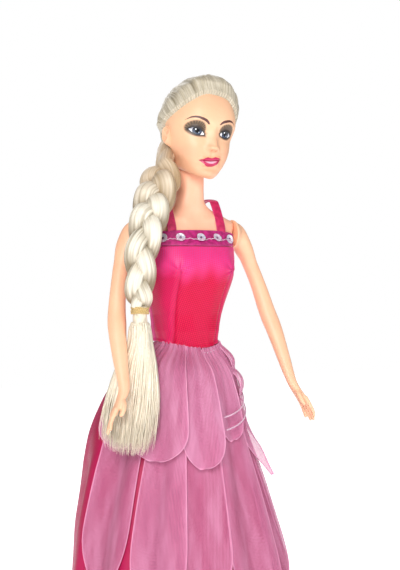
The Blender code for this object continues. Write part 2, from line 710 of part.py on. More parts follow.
def build_arm(side, word, parts, cutters, skin):
    """Arm, shoulder cap, thumb and the headed peg that the torso shells trap."""
    arm = loft(f"arm_{word}", arm_rings(side), skin, parts)
    carve(arm, shoulder_cap(side, word, cutters, skin), "UNION")
    face = SHOULDER_HALF_WIDTH + CAP_INSET

    def along(x):
        return Vector((side * x, 0, SHOULDER_HEIGHT))

    stem = rod(f"peg_stem_{word}", along(face - PEG_REACH), along(face + PEG_HEAD_LENGTH), PEG_RADIUS, skin, cutters)
    carve(arm, stem, "UNION")
    head = rod(f"peg_head_{word}", along(face - PEG_REACH - PEG_HEAD_LENGTH), along(face - PEG_REACH + GAP),
               PEG_HEAD_RADIUS, skin, cutters)
    carve(arm, head, "UNION")
    root, tip = [thumb_point(side, *row) for row in THUMB_SHARES]
    carve(arm, rod(f"thumb_{word}", root, tip, THUMB_RADIUS, skin, cutters, sides=8), "UNION")


def thumb_point(side, drop, inward, ahead):
    """A point of the thumb, from the arm's drop and its place inward and ahead of the arm's line."""
    outward, forward = smooth_values(ARM_SHARES, drop)[:2]
    return arm_place(side, drop, outward - inward, forward + ahead)


def carve_shoulders(cutters):
    """Each arm's peg passes through a hole that the two torso shells share."""
    reach = SHOULDER_HALF_WIDTH + CAP_INSET
    for side, word in ((-1, "right"), (1, "left")):
        hole = rod(f"shoulder_hole_{word}", Vector((side * (reach - OVERRUN - TORSO_WALL), 0, SHOULDER_HEIGHT)),
                   Vector((side * (reach + OVERRUN), 0, SHOULDER_HEIGHT)), PEG_RADIUS + RUNNING_GAP, None, cutters, sides=18)
        for shell in ("torso_front", "torso_back"):
            carve(bpy.data.objects[shell], hole)


def head_radius(polar, angle):
    """Distance from the skull's centre to the skin, before the face's own forms."""
    front, side, back = smooth_values(HEAD_SHARES, polar)
    turn = math.radians(angle)
    fore = front if math.cos(turn) > 0 else back
    level = (abs(math.cos(turn) / fore) ** HEAD_ROUNDNESS + abs(math.sin(turn) / side) ** HEAD_ROUNDNESS)
    return CROWN_RADIUS / level ** (1 / HEAD_ROUNDNESS)


def head_point(polar, angle, gap=0.0):
    """A point of the head's skin in the head's own frame, whose origin is on the neck."""
    tilt = math.radians(polar)
    way = around(angle) * math.sin(tilt) + Vector((0, 0, math.cos(tilt)))
    point = SKULL_CENTRE + way * (head_radius(polar, angle) + gap)
    if way.y < 0:
        for across, up, spread_x, spread_z, rise, mirrored in FACE_SHARES:
            for side in ((-1, 1) if mirrored else (1,)):
                u = (point.x / CROWN_RADIUS - side * across) / spread_x
                v = (point.z / CROWN_RADIUS - up) / spread_z
                point = point - Vector((0, rise * CROWN_RADIUS * math.exp(-(u * u + v * v) / 2), 0))
    return point


def head_frame():
    """From the head's own frame to the doll: the head leans to its left, nods and turns a little."""
    lean = Matrix.Rotation(HEAD_LEAN, 4, "Y") @ Matrix.Rotation(HEAD_NOD, 4, "X")
    return Matrix.Translation((NECK_LEAN, 0, NECK_PIVOT)) @ lean @ Matrix.Rotation(HEAD_YAW, 4, "Z")


def build_head(parts, cutters, vinyl):
    frame = head_frame()
    polars = [0.5, 20, 39, 56, 70, 82, 92, 101, 108, 114, 120, 127, 134, 141, 147, 153, 159, NECK_HOLE_ANGLE]
    angles = [0, 9, 20, 34, 50, 69, 90, 112, 135, 157]
    angles = [-180] + [-a for a in reversed(angles[1:])] + angles
    rows = [[frame @ head_point(p, a) for a in angles] for p in reversed(polars)]
    head = sheet("head_shell", rows, True, VINYL_WALL, vinyl, parts, outward=False)
    close_top(head, len(angles), len(rows))
    for side, word in ((-1, "right"), (1, "left")):
        ear = ear_solid(side, word, frame, cutters, vinyl)
        carve(head, ear, "UNION")


def close_top(obj, columns, rows):
    """Closes the small hole at a grid's last row, before its thickness is added."""
    work = bmesh.new()
    work.from_mesh(obj.data)
    work.verts.ensure_lookup_table()
    work.faces.new([work.verts[(rows - 1) * columns + c] for c in range(columns)])
    work.to_mesh(obj.data)
    work.free()


def ear_solid(side, word, frame, cutters, vinyl):
    """A flattened drop on the side of the head, sunk a little into it."""
    root = head_point(EAR_POLAR, side * EAR_ANGLE)
    rings = []
    for share in (0.02, 0.25, 0.5, 0.75, 0.98):
        swell = math.sin(math.pi * share) ** 0.6
        up = EAR_HEIGHT * (share - 0.55)
        centre = root + Vector((-side * EAR_WIDTH / 4, EAR_DEPTH * (share - 0.5) / 2, up))
        outward = Vector((side, 0, 0))
        back = Vector((0, side, 0))
        rings.append(ring_at(frame @ centre, frame.to_3x3() @ outward, frame.to_3x3() @ back,
                             EAR_WIDTH * swell, EAR_DEPTH / 2 * swell, 8))
    return loft(f"ear_{word}", rings, vinyl, cutters)


def hairline(angle):
    return smooth_values(HAIRLINE_DEGREES, abs(angle))[0]


def build_hair_cap(parts, hair):
    """Combed-back hair as a cap with a thin edge at the hairline."""
    frame = head_frame()
    angles = [a - FULL_TURN / 2 for a in full_turn(24)]
    shares = (0.01, 0.15, 0.30, 0.46, 0.62, 0.78, 0.92, 1.0)

    def ring(share, lift):
        return [frame @ head_point(share * hairline(a), a, lift) for a in angles]

    def height(share):
        return HAIR_THICKNESS * (HAIR_EDGE_SHARE + (1 - HAIR_EDGE_SHARE) * math.sqrt(1 - share**4))

    outer = [ring(s, HAIR_CLEARANCE + height(s)) for s in shares]
    inner = [ring(s, HAIR_CLEARANCE) for s in reversed(shares)]
    loft("hair_cap", outer + inner, hair, parts)


def braid_line(share):
    """Centre, across and facing of the braid at a share of its length."""
    places = [(i / (len(BRAID_SHARES) - 1), *row) for i, row in enumerate(BRAID_SHARES)]
    right, forward, up, facing = smooth_values(places, share)
    centre = Vector((-right * SHOULDER_HALF_WIDTH, -forward * SHOULDER_HALF_WIDTH,
                     SHOULDER_HEIGHT + up * (BRAID_RISE if up > 0 else BRAID_DROP)))
    face = around(-facing)
    return centre, face


def braid_frame(share):
    centre, face = braid_line(share)
    ahead = braid_line(min(share + 0.01, 1.0))[0] - braid_line(max(share - 0.01, 0.0))[0]
    ahead.normalize()
    across = ahead.cross(face).normalized()
    return centre, across, across.cross(ahead).normalized()


def strand_centre(k, share):
    centre, across, face = braid_frame(share)
    size = BRAID_TOP_SPREAD + (BRAID_END_SPREAD - BRAID_TOP_SPREAD) * share
    size *= min(1.0, 0.72 + 2.5 * share)
    phase = 2 * math.pi * (share * braid_length() / BRAID_PERIOD + k / 3)
    return centre + across * (size * math.sin(phase)) + face * (size * WEAVE_DEPTH_SHARE * math.sin(2 * phase)), size


def braid_length():
    steps = [braid_line(i / 40)[0] for i in range(41)]
    return sum((b - a).length for a, b in zip(steps, steps[1:]))


def build_braid(parts, hair):
    for k in range(3):
        rings = []
        for share in spread(0.0, 1.0, BRAID_RINGS):
            here, size = strand_centre(k, share)
            ahead = strand_centre(k, share + 0.01)[0] - strand_centre(k, share - 0.01)[0]
            ahead.normalize()
            face = braid_frame(share)[2]
            across = ahead.cross(face).normalized()
            up = across.cross(ahead).normalized()
            rings.append(ring_at(here, across, up, size * STRAND_SHARE, size * STRAND_DEPTH_SHARE, 8))
        loft(f"braid_strand_{k + 1}", rings, hair, parts)


def build_braid_root(parts, hair):
    """Hair gathered at the nape and turned forward, under the right ear, to the braid's top."""
    start = braid_frame(0.0)[0]
    rise = start.z + STRAND_LIFT
    reach = SHOULDER_HALF_WIDTH
    centres = [Vector((-x * reach, y * reach, rise + z * reach)) for x, y, z, _, _ in ROOT_SHARES]
    rings = []
    for i, (_, _, _, wide, tall) in enumerate(ROOT_SHARES):
        ahead = (centres[min(i + 1, len(centres) - 1)] - centres[max(i - 1, 0)]).normalized()
        side = ahead.cross(Vector((0, 0, 1))).normalized()
        up = side.cross(ahead).normalized()
        rings.append(ring_at(centres[i], side, up, wide * reach, tall * reach, 12))
    loft("braid_root", rings, hair, parts)


def tail_rings():
    facing = around(-27.0)
    rings = []
    for right, forward, drop, wide, thick in TAIL_SHARES:
        centre = Vector((-right * SHOULDER_HALF_WIDTH, -forward * SHOULDER_HALF_WIDTH,
                         SHOULDER_HEIGHT - drop * BRAID_DROP))
        across = facing.cross(Vector((0, 0, 1))).normalized()
        rings.append(ring_at(centre, across, facing, wide * TAIL_HALF_WIDTH, thick * TAIL_HALF_WIDTH, 16))
    return rings


def build_tail_and_tie(parts, hair, gold):
    """The bound end of the braid, the elastic wound round it and the loose hair below."""
    loft("braid_tail", tail_rings(), hair, parts)
    centre, across, face = braid_frame(1.0)
    first = TAIL_SHARES[0]
    low = Vector((-first[0] * SHOULDER_HALF_WIDTH, -first[1] * SHOULDER_HALF_WIDTH,
                  SHOULDER_HEIGHT - first[2] * BRAID_DROP))
    along = low - centre
    step = along.normalized()
    pitch = 2 * TIE_THREAD_RADIUS + TIE_THREAD_GAP
    start = (along.length - pitch * TIE_TURNS) / 2
    points = []
    for i in range(TIE_STEPS * TIE_TURNS + 1):
        turn = 2 * math.pi * i / TIE_STEPS
        place = centre + step * (start + pitch * i / TIE_STEPS)
        points.append(place + across * (TIE_RADIUS * math.cos(turn)) + face * (TIE_DEPTH * math.sin(turn)))
    tube("braid_tie", points, TIE_THREAD_RADIUS, gold, parts, sides=1)
    least = min((p - q).length for i, p in enumerate(points) for q in points[i + TIE_STEPS // 2:])
    print(f"braid_tie: least gap of the winding to itself {(least - 2 * TIE_THREAD_RADIUS) / MM:.2f} mm")
    inside = TIE_THREAD_RADIUS + GAP * 1.6
    core = ring_at(centre, across, face, TIE_RADIUS - inside, TIE_DEPTH - inside, 12)
    loft("braid_bound_end", [[p + step * BOUND_END_SINK for p in core],
                             [p + step * (along.length - GAP) for p in core]], hair, parts)


def bodice_bottom(angle):
    """The hem dips at the front."""
    return WAIST_HEIGHT - BODICE_DIP * max(0.0, math.cos(math.radians(angle))) ** 2


def bodice_lift(height, angle):
    """How far the bodice's inside lies off the body: over the waist tape and the back closure."""
    near_waist = max(0.0, 1.6 - (height - WAIST_HEIGHT) / (2 * WAIST_TAPE_HEIGHT))
    off_back = abs(180.0 - angle % 360.0)
    near_back = max(0.0, min(1.0, 2.0 - off_back / CLOSURE_HALF_ANGLE))
    return 2 * GAP + (WAIST_TAPE_THICK + GAP) * min(1.0, near_waist) + (CLOSURE_THICK + GAP) * near_back


def build_bodice(parts, satin, hook):
    top = BODICE_TOP
    seam = math.degrees(GAP / HIP_HALF_DEPTH)
    half_gap = math.degrees(BACK_OPENING / HIP_HALF_DEPTH)
    for name, low, high in (
        ("bodice_front", -90 + seam, 90 - seam),
        ("bodice_back_left", 90 + seam, 180 - half_gap),
        ("bodice_back_right", 180 + half_gap, 270 - seam),
    ):
        rows = []
        for share in spread(0, 1, 9):
            row = []
            for a in spread(low, high, 17 if name == "bodice_front" else 9):
                bottom = bodice_bottom(a)
                height = bottom + (top - bottom) * share
                row.append(torso_point(height, a, bodice_lift(height, a)))
            rows.append(row)
        sheet(name, rows, False, SATIN, satin, parts)
    heights = spread(WAIST_HEIGHT + WAIST_TAPE_HEIGHT, top - BAND_HEIGHT / 2, 8)
    half = CLOSURE_HALF_ANGLE - half_gap
    rows = [[torso_point(z, a, GAP) for a in spread(180 - half, 180 + half, 5)] for z in heights]
    sheet("back_closure_strip", rows, False, CLOSURE_THICK, hook, parts)


def build_waist_tape(parts, ribbon):
    low = WAIST_HEIGHT - BODICE_DIP - WAIST_TAPE_HEIGHT / 2
    high = WAIST_HEIGHT + WAIST_TAPE_HEIGHT / 2
    rows = [[torso_point(z, a, GAP * 1.5) for a in full_turn(24)] for z in spread(low, high, 3)]
    sheet("waist_tape", rows, True, WAIST_TAPE_THICK, ribbon, parts)


def band_height(share, angle=0.0):
    """Height of a share of the neckline band, which narrows a little towards its ends."""
    narrow = 1.0 - BAND_NARROWING_SHARE * (angle / BAND_HALF_ANGLE) ** 2
    return BODICE_TOP + GAP + BAND_HEIGHT * share * narrow


def band_point(angle, share, lift=0.0):
    """A point of the neckline band: its outside is at lift 0."""
    height = band_height(share, angle)
    return torso_point(height, angle, GAP + BAND_THICK + lift)


def build_band(parts, ribbon, sequin_stuff, thread):
    rows = [[band_point(a, s, -BAND_THICK) for a in spread(-BAND_HALF_ANGLE, BAND_HALF_ANGLE, 17)]
            for s in (0.0, 0.33, 0.67, 1.0)]
    sheet("neckline_band", rows, False, BAND_THICK, ribbon, parts)
    half = SEQUIN_COUNT // 2
    for i in range(SEQUIN_COUNT):
        angle = (i - half) * SEQUIN_STEP_DEGREES
        centre = band_point(angle, 0.5)
        across = (band_point(angle + 2, 0.5) - band_point(angle - 2, 0.5)).normalized()
        up = (band_point(angle, 0.6) - band_point(angle, 0.4)).normalized()
        out = across.cross(up).normalized()
        lift = GAP * 1.6
        outer = [ring_at(centre + out * z, across, up, SEQUIN_RADIUS, SEQUIN_RADIUS, 12)
                 for z in (lift, lift + SEQUIN_THICK)]
        inner = [ring_at(centre + out * z, across, up, SEQUIN_HOLE_RADIUS, SEQUIN_HOLE_RADIUS, 12)
                 for z in (lift + SEQUIN_THICK, lift)]
        washer(f"sequin_{i + 1}", outer + inner, sequin_stuff, parts)
    lift = GAP * 1.6 + SEQUIN_THICK + GAP + THREAD_RADIUS
    reach = (half + 0.35) * SEQUIN_STEP_DEGREES
    points = [band_point(a, 0.42, lift) for a in spread(-reach, reach, 31)]
    tube("sequin_thread", points, THREAD_RADIUS, thread, parts, sides=0)


def washer(name, rings, material, collection):
    """A ring of rectangular section: the four rings close on themselves."""
    columns = len(rings[0])
    points = [p for ring in rings for p in ring]
    faces = []
    for r in range(4):
        s = (r + 1) % 4
        for c in range(columns):
            d = (c + 1) % columns
            faces.append((r * columns + c, r * columns + d, s * columns + d, s * columns + c))
    obj = mesh_object(name, points, faces, material, collection)
    face_outward(obj)


def build_straps(parts, ribbon):
    """Loose ribbons from the band's top edge, over the shoulder, to the back of the bodice."""
    top = STRAP_TOP
    lift = GAP + SATIN + 2 * GAP
    for side, word in ((-1, "right"), (1, "left")):
        edges = [side * STRAP_OFFSET + x for x in spread(-STRAP_WIDTH / 2, STRAP_WIDTH / 2, 3)]
        rows = []
        for rise in STRAP_FRONT_SHARES:
            height = band_height(1.0) + GAP + rise * STRAP_WIDTH
            rows.append([across_body(x, height, -1, 2 * GAP) for x in edges])
        front = rows[-1][1]
        back = across_body(side * STRAP_OFFSET, SHOULDER_HEIGHT, 1, lift)
        for deep, down in STRAP_TOP_SHARES:
            y = front.y + (back.y - front.y) * deep
            rows.append([Vector((x, y, top - down * STRAP_WIDTH)) for x in edges])
        low = BODICE_TOP - BAND_HEIGHT / 2
        for z in spread(SHOULDER_HEIGHT, low, 3):
            rows.append([across_body(x, z, 1, lift) for x in edges])
        sheet(f"strap_{word}", rows, False, STRAP_THICK, ribbon, parts)


def across_body(x, height, way, lift):
    """A point of the torso's skin, moved out by a lift, at a given X, on its front (-1) or back (1)."""
    low, high = (0.0, 90.0) if way < 0 else (180.0, 90.0)
    for _ in range(24):
        middle = (low + high) / 2
        if torso_point(height, middle, lift).x < abs(x):
            low = middle
        else:
            high = middle
    found = torso_point(height, low, lift)
    return Vector((x, found.y, height))


def skirt_radius(angle, drop):
    """Radius of the underskirt, without its folds, at an angle and a share of its length."""
    across = smooth_values(SKIRT_SHARES, drop)
    rows = list(zip(SKIRT_ANGLES, across))
    turn = (angle + 180.0) % 360.0 - 180.0
    return smooth_values(rows, turn)[0] * SKIRT_RADIUS


def fold_depth(drop):
    return min(1.0, drop * 2.4) * (0.55 + 0.45 * drop) * FOLD_SHARE * SKIRT_RADIUS


def fold(angle, drop):
    """How far the cloth stands out of its mean radius: folds run down it and open towards the hem."""
    return math.cos(math.radians(angle) * FOLD_COUNT) * fold_depth(drop)


def legs_reach(angle):
    """How far out the two thighs and a gap reach together at an angle."""
    way = around(angle)
    half_width = LEG_SPACING + THIGH_HALF_WIDTH + GAP
    half_depth = LEG_HEAD_RADIUS + GAP
    return 1 / math.hypot(way.x / half_width, way.y / half_depth)


def skirt_point(angle, drop, lift, folds=1.0):
    """A point of a skirt layer: lift is how far it lies off the underskirt, square to its slope."""
    waist = bodice_bottom(angle) - GAP - SATIN
    height = waist - drop * SKIRT_LENGTH

    def radius(at):
        return skirt_radius(angle, at) + folds * fold(angle, at)

    step = 0.01
    flare = math.atan2(radius(drop + step) - radius(max(0.0, drop - step)),
                       (drop + step - max(0.0, drop - step)) * SKIRT_LENGTH)
    out = radius(drop)
    if height < HIP_HEIGHT + LEG_HEAD_RADIUS:
        out = max(out, legs_reach(angle))
    if height > TORSO_SPLIT - OVERRUN:
        out = max(out, torso_point(height, angle, 2 * GAP + WAIST_TAPE_THICK).xy.length)
    out += lift * math.cos(flare)
    way = around(angle)
    return Vector((way.x * out, way.y * out, height + lift * math.sin(flare)))


def build_underskirt(parts, satin):
    seam = math.degrees(GAP / HIP_HALF_DEPTH) / 2
    for name, low, high, columns in (
        ("underskirt_front_right", -92.0, -seam, 21),
        ("underskirt_front_left", seam, 92.0, 21),
        ("underskirt_back", 92.0 + 2 * seam, 268.0 - 2 * seam, 37),
    ):
        rows = []
        for drop in reversed(spread(0, 1, UNDERSKIRT_ROWS)):
            drop = drop**1.7
            rows.append([skirt_point(a, drop, 0.0) for a in spread(low, high, columns)])
        sheet(name, rows, False, SATIN, satin, parts)


def petal_half_width(share):
    """Half width of a petal along its length, as a share of its widest: a round-ended leaf."""
    if share < 0.72:
        return 0.72 + 0.28 * math.sin(math.pi / 2 * share / 0.72)
    return math.sqrt(max(0.0, 1.0 - ((share - 0.72) / 0.285) ** 2))


def build_petal(name, centre, width, length, top, lift, material, parts):
    rows = []
    for i in reversed(range(PETAL_ROWS + 1)):
        share = (1.0 - math.cos(math.pi * i / PETAL_ROWS)) / 2
        drop = top + (length - top) * share
        row = []
        for v in spread(-1, 1, PETAL_COLUMNS):
            angle = centre + v * width / 2 * petal_half_width(share)
            lap = PETAL_LAP * (v + 1) / 2 * min(1.0, 0.5 + drop * 8)
            row.append(skirt_point(angle, drop, lift + lap))
        rows.append(row)
    sheet(name, rows, False, ORGANZA, material, parts)


def build_petals(parts, organza):
    low_lift = SATIN + TIER_GAP
    high_lift = low_lift + PETAL_LAP + ORGANZA + TIER_GAP
    for word, centre, width, length in LOWER_PETAL_SHARES:
        build_petal(f"lower_petal_{word}", centre, width, length, LOWER_TOP_SHARE, low_lift, organza, parts)
    for word, centre, width, length in UPPER_PETAL_SHARES:
        build_petal(f"upper_petal_{word}", centre, width, length, UPPER_TOP_SHARE, high_lift, organza, parts)
    return high_lift + PETAL_LAP + ORGANZA


def build_side_threads(parts, thread, lift):
    """Two fine threads drawn straight across the petals at the doll's left."""
    for word, drop in zip(("upper", "lower"), SIDE_THREAD_DROP_SHARES):
        points = []
        for a in spread(*SIDE_THREAD_ANGLES, 21):
            rise = 0.03 * (a - SIDE_THREAD_ANGLES[0]) / (SIDE_THREAD_ANGLES[1] - SIDE_THREAD_ANGLES[0])
            taut = lift + fold_depth(drop) + 2 * GAP + SIDE_THREAD_RADIUS
            points.append(skirt_point(a, drop - rise, taut, folds=0.0))
        tube(f"side_thread_{word}", points, SIDE_THREAD_RADIUS, thread, parts, sides=0)


def main():
    clear_scene()
    parts = new_collection("fashion_doll")
    cutters = new_collection("cutters")
    cutters.hide_render = True

    skin = new_material("body_plastic", (0.93, 0.66, 0.48), 0.42)
    vinyl = new_material("face_vinyl", (0.93, 0.66, 0.48), 0.48)
    hair = new_material("hair_fibre", (0.80, 0.72, 0.56), 0.35)
    gold = new_material("hair_elastic", (0.75, 0.60, 0.30), 0.5)
    satin = new_material("satin", (0.82, 0.03, 0.20), 0.35)
    under_satin = new_material("underskirt_satin", (0.62, 0.06, 0.18), 0.4)
    organza = new_material("organza", (0.83, 0.36, 0.60), 0.55)
    ribbon = new_material("ribbon", (0.50, 0.03, 0.22), 0.45)
    sequin_stuff = new_material("sequin", (0.85, 0.85, 0.88), 0.2, 0.6)
    thread = new_material("thread", (0.90, 0.72, 0.80), 0.7)
    steel = new_material("steel", (0.6, 0.6, 0.62), 0.35, 1.0)
    plastic = new_material("shoe_plastic", (0.80, 0.10, 0.35), 0.3)
    hook = new_material("hook_tape", (0.85, 0.80, 0.80), 0.8)

    build_torso(parts, skin)
    build_neck_knob(parts, skin)
    build_hips(parts, cutters, skin, steel)
    for side, word in ((-1, "right"), (1, "left")):
        build_leg(side, word, parts, cutters, skin)
        build_shoe(side, word, parts, cutters, plastic)
        build_arm(side, word, parts, cutters, skin)
    carve_shoulders(cutters)
    build_head(parts, cutters, vinyl)
    build_hair_cap(parts, hair)
    build_braid(parts, hair)
    build_braid_root(parts, hair)
    build_tail_and_tie(parts, hair, gold)
    build_bodice(parts, satin, hook)
    build_waist_tape(parts, ribbon)
    build_band(parts, ribbon, sequin_stuff, thread)
    build_straps(parts, ribbon)
    build_underskirt(parts, under_satin)
    outside = build_petals(parts, organza)
    build_side_threads(parts, thread, outside)


main()
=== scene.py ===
"""The looks of a fashion doll in a petal-skirted gown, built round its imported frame.

The doll faces -Y, stands at Z = 0 and its own left side is +X. Shapes are worked out in
millimetres and written in metres. Angles round the body are in degrees from the front,
positive towards the doll's left.
"""

import math

import bmesh
import bpy
import numpy as np
from mathutils import Matrix, Vector


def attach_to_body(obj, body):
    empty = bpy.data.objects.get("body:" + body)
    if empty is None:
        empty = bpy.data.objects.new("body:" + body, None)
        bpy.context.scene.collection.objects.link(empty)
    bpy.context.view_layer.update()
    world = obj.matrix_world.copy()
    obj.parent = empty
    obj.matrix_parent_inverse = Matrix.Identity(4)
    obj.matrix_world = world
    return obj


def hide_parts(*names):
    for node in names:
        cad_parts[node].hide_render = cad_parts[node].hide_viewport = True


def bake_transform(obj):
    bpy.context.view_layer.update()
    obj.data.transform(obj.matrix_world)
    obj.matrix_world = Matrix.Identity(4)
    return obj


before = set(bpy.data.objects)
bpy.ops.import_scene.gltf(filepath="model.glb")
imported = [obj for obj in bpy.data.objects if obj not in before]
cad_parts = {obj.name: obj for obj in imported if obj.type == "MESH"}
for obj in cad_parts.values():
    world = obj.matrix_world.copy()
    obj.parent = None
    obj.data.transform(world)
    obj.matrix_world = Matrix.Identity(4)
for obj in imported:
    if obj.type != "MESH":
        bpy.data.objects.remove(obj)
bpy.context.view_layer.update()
rng = np.random.default_rng(11)
MM = 0.001
X, Y, Z = np.eye(3)
SIDES = ((-1, "right"), (1, "left"))

# The photograph's view: turn and drop in degrees, distance and height in metres, the rest in pixels
VIEW_TURN = -27.0
VIEW_DROP = 0.7
VIEW_DISTANCE = 0.480
VIEW_HEIGHT = 0.213
VIEW_FOCUS = 1166
VIEW_SHIFT = 13
PHOTO_HEIGHT = 570

# Sizes repeated from the frame's source, in millimetres
GAP = 0.35
SATIN = 0.5
HIP = 150.0
WAIST = 184.5
SHOULDER = 228.5
TORSO_LENGTH = 100.2
NECK_TOP = HIP + TORSO_LENGTH
NECK_LEAN = 1.5
NECK_PIVOT = 252.65
HIP_HALF_WIDTH = 20.0
HIP_HALF_DEPTH = 15.5
SHOULDER_HALF_WIDTH = 20.3
ARM_FACE = 20.8
ARM_DROP = 78.0
CAP_RADIUS = 5.6
BODICE_TOP = 222.6
BODICE_DIP = 2.6
SKIRT_LENGTH = 120.5
SKIRT_RADIUS = 50.0
CROWN = 20.0
SKULL_UP = 17.0

# Torso: share of its length, half width, and half depth in front and behind
TORSO_ROWS = (
    (-0.090, 0.62, 0.60, 0.66), (0.000, 0.95, 0.90, 1.00), (0.080, 0.95, 0.92, 1.00),
    (0.175, 0.86, 0.84, 0.92), (0.250, 0.74, 0.72, 0.76), (0.330, 0.61, 0.65, 0.68),
    (0.400, 0.66, 0.71, 0.70), (0.490, 0.77, 0.80, 0.74), (0.575, 0.86, 0.86, 0.76),
    (0.640, 0.90, 0.86, 0.76), (0.710, 0.93, 0.78, 0.76), (0.780, 0.99, 0.62, 0.74),
    (0.830, 1.00, 0.50, 0.66), (0.857, 0.76, 0.44, 0.56), (0.878, 0.49, 0.40, 0.46),
    (0.906, 0.33, 0.37, 0.40), (0.950, 0.28, 0.345, 0.36), (1.000, 0.27, 0.345, 0.345),
)
# Skull: degrees from its top, and radii in front, at the side and behind
HEAD_ROWS = (
    (0.0, 1.000, 1.000, 1.000), (20.0, 0.990, 0.955, 0.985), (40.0, 0.945, 0.855, 0.935),
    (60.0, 0.880, 0.765, 0.885), (80.0, 0.795, 0.715, 0.825), (90.0, 0.770, 0.703, 0.790),
    (100.0, 0.760, 0.700, 0.755), (115.0, 0.795, 0.705, 0.705), (128.0, 0.900, 0.705, 0.665),
    (135.0, 1.030, 0.705, 0.650), (141.0, 1.125, 0.715, 0.650), (147.0, 1.140, 0.750, 0.720),
    (152.0, 1.065, 0.800, 0.790), (157.0, 0.950, 0.840, 0.845), (162.0, 0.872, 0.843, 0.846),
    (167.0, 0.840, 0.840, 0.840),
)
# Hairline: degrees from the front, and from the skull's top
HAIRLINE = (
    (0.0, 36.0), (25.0, 39.0), (50.0, 52.0), (72.0, 65.0), (88.0, 74.0), (100.0, 81.0), (113.0, 94.0),
    (135.0, 118.0), (180.0, 130.0),
)
# Skirt: angles round it, and rows of a drop and the radius at each angle, as shares
SKIRT_ANGLES = (-180.0, -120.0, -75.0, -20.0, 63.0, 125.0, 180.0)
SKIRT_ROWS = (
    (0.000, 0.232, 0.246, 0.268, 0.232, 0.250, 0.246, 0.232),
    (0.035, 0.330, 0.360, 0.335, 0.285, 0.285, 0.325, 0.330),
    (0.090, 0.455, 0.490, 0.425, 0.370, 0.335, 0.410, 0.455),
    (0.160, 0.570, 0.620, 0.480, 0.445, 0.375, 0.470, 0.570),
    (0.240, 0.640, 0.680, 0.520, 0.510, 0.405, 0.520, 0.640),
    (0.350, 0.710, 0.730, 0.590, 0.580, 0.480, 0.600, 0.710),
    (0.500, 0.790, 0.780, 0.700, 0.670, 0.600, 0.700, 0.790),
    (0.750, 0.900, 0.880, 0.840, 0.810, 0.780, 0.840, 0.900),
    (1.000, 1.000, 1.000, 0.960, 0.940, 0.920, 0.960, 1.000),
)
# Arm: drop, outward and forward, half breadth and half thickness
ARM_ROWS = (
    (-0.062, 0.036, -0.016, 0.16, 0.14), (-0.045, 0.040, -0.018, 0.40, 0.34),
    (-0.015, 0.046, -0.020, 0.58, 0.48), (0.022, 0.054, -0.018, 0.64, 0.54),
    (0.077, 0.078, -0.012, 0.63, 0.55), (0.147, 0.107, 0.002, 0.57, 0.51),
    (0.276, 0.145, 0.040, 0.55, 0.51), (0.401, 0.171, 0.079, 0.62, 0.55),
    (0.468, 0.183, 0.108, 0.66, 0.57), (0.528, 0.192, 0.138, 0.61, 0.53),
    (0.654, 0.204, 0.201, 0.52, 0.43), (0.779, 0.215, 0.267, 0.38, 0.33),
    (0.827, 0.238, 0.279, 0.46, 0.30), (0.878, 0.272, 0.290, 0.59, 0.27),
    (0.929, 0.303, 0.297, 0.54, 0.23), (0.974, 0.326, 0.303, 0.39, 0.20),
    (1.000, 0.336, 0.305, 0.14, 0.11),
)
# Shoulder cap: radius and outward
CAP_ROWS = (
    (0.92, 0.00), (1.00, 0.08), (0.98, 0.22), (0.88, 0.38), (0.72, 0.50), (0.46, 0.60), (0.16, 0.65),
)
# Legs: how far each hip is from the middle, and the sizes that the rows are shares of
LEG_SPACING = 12.0
THIGH_HALF_WIDTH = 7.1
LEG_HEAD = 12.5
HEEL = 18.0
FOOT_HALF_WIDTH = 4.3
# Leg: height, sideways, half width, backward, half depth
LEG_ROWS = (
    (0.187, 0.80, 0.42, 0.12, 0.30), (0.250, 0.78, 0.45, 0.11, 0.34), (0.345, 0.76, 0.61, 0.10, 0.45),
    (0.425, 0.75, 0.70, 0.06, 0.51), (0.495, 0.75, 0.67, -0.02, 0.48), (0.560, 0.75, 0.68, -0.08, 0.50),
    (0.615, 0.76, 0.73, -0.06, 0.56), (0.700, 0.80, 0.87, -0.02, 0.69), (0.800, 0.87, 0.95, 0.00, 0.80),
    (0.890, 0.97, 0.97, 0.00, 0.91), (0.950, 1.00, 0.99, 0.00, 0.97), (1.000, 1.00, 1.00, 0.00, 1.00),
)
# Foot: backward, up, tilt in degrees, half thickness, half width
FOOT_ROWS = (
    (0.075, 1.26, 6.0, 0.260, 0.84), (0.030, 0.985, 30.0, 0.350, 0.91), (-0.190, 0.715, 48.0, 0.255, 0.96),
    (-0.455, 0.465, 60.0, 0.185, 1.02), (-0.700, 0.310, 76.0, 0.130, 1.00),
    (-0.895, 0.248, 88.0, 0.094, 0.80), (-1.000, 0.232, 90.0, 0.052, 0.42),
)
# Braid: right, forward and up, and the way that it faces in degrees
BRAID_ROWS = (
    (0.57, 0.07, 0.425, 66.0), (0.72, 0.25, 0.335, 52.0), (0.91, 0.42, 0.235, 42.0),
    (1.08, 0.57, 0.135, 34.0), (1.20, 0.67, 0.042, 30.0), (1.34, 0.74, -0.105, 28.0),
    (1.39, 0.76, -0.250, 27.0), (1.40, 0.76, -0.400, 27.0), (1.40, 0.76, -0.495, 27.0),
)
BRAID_DROP = 60.0

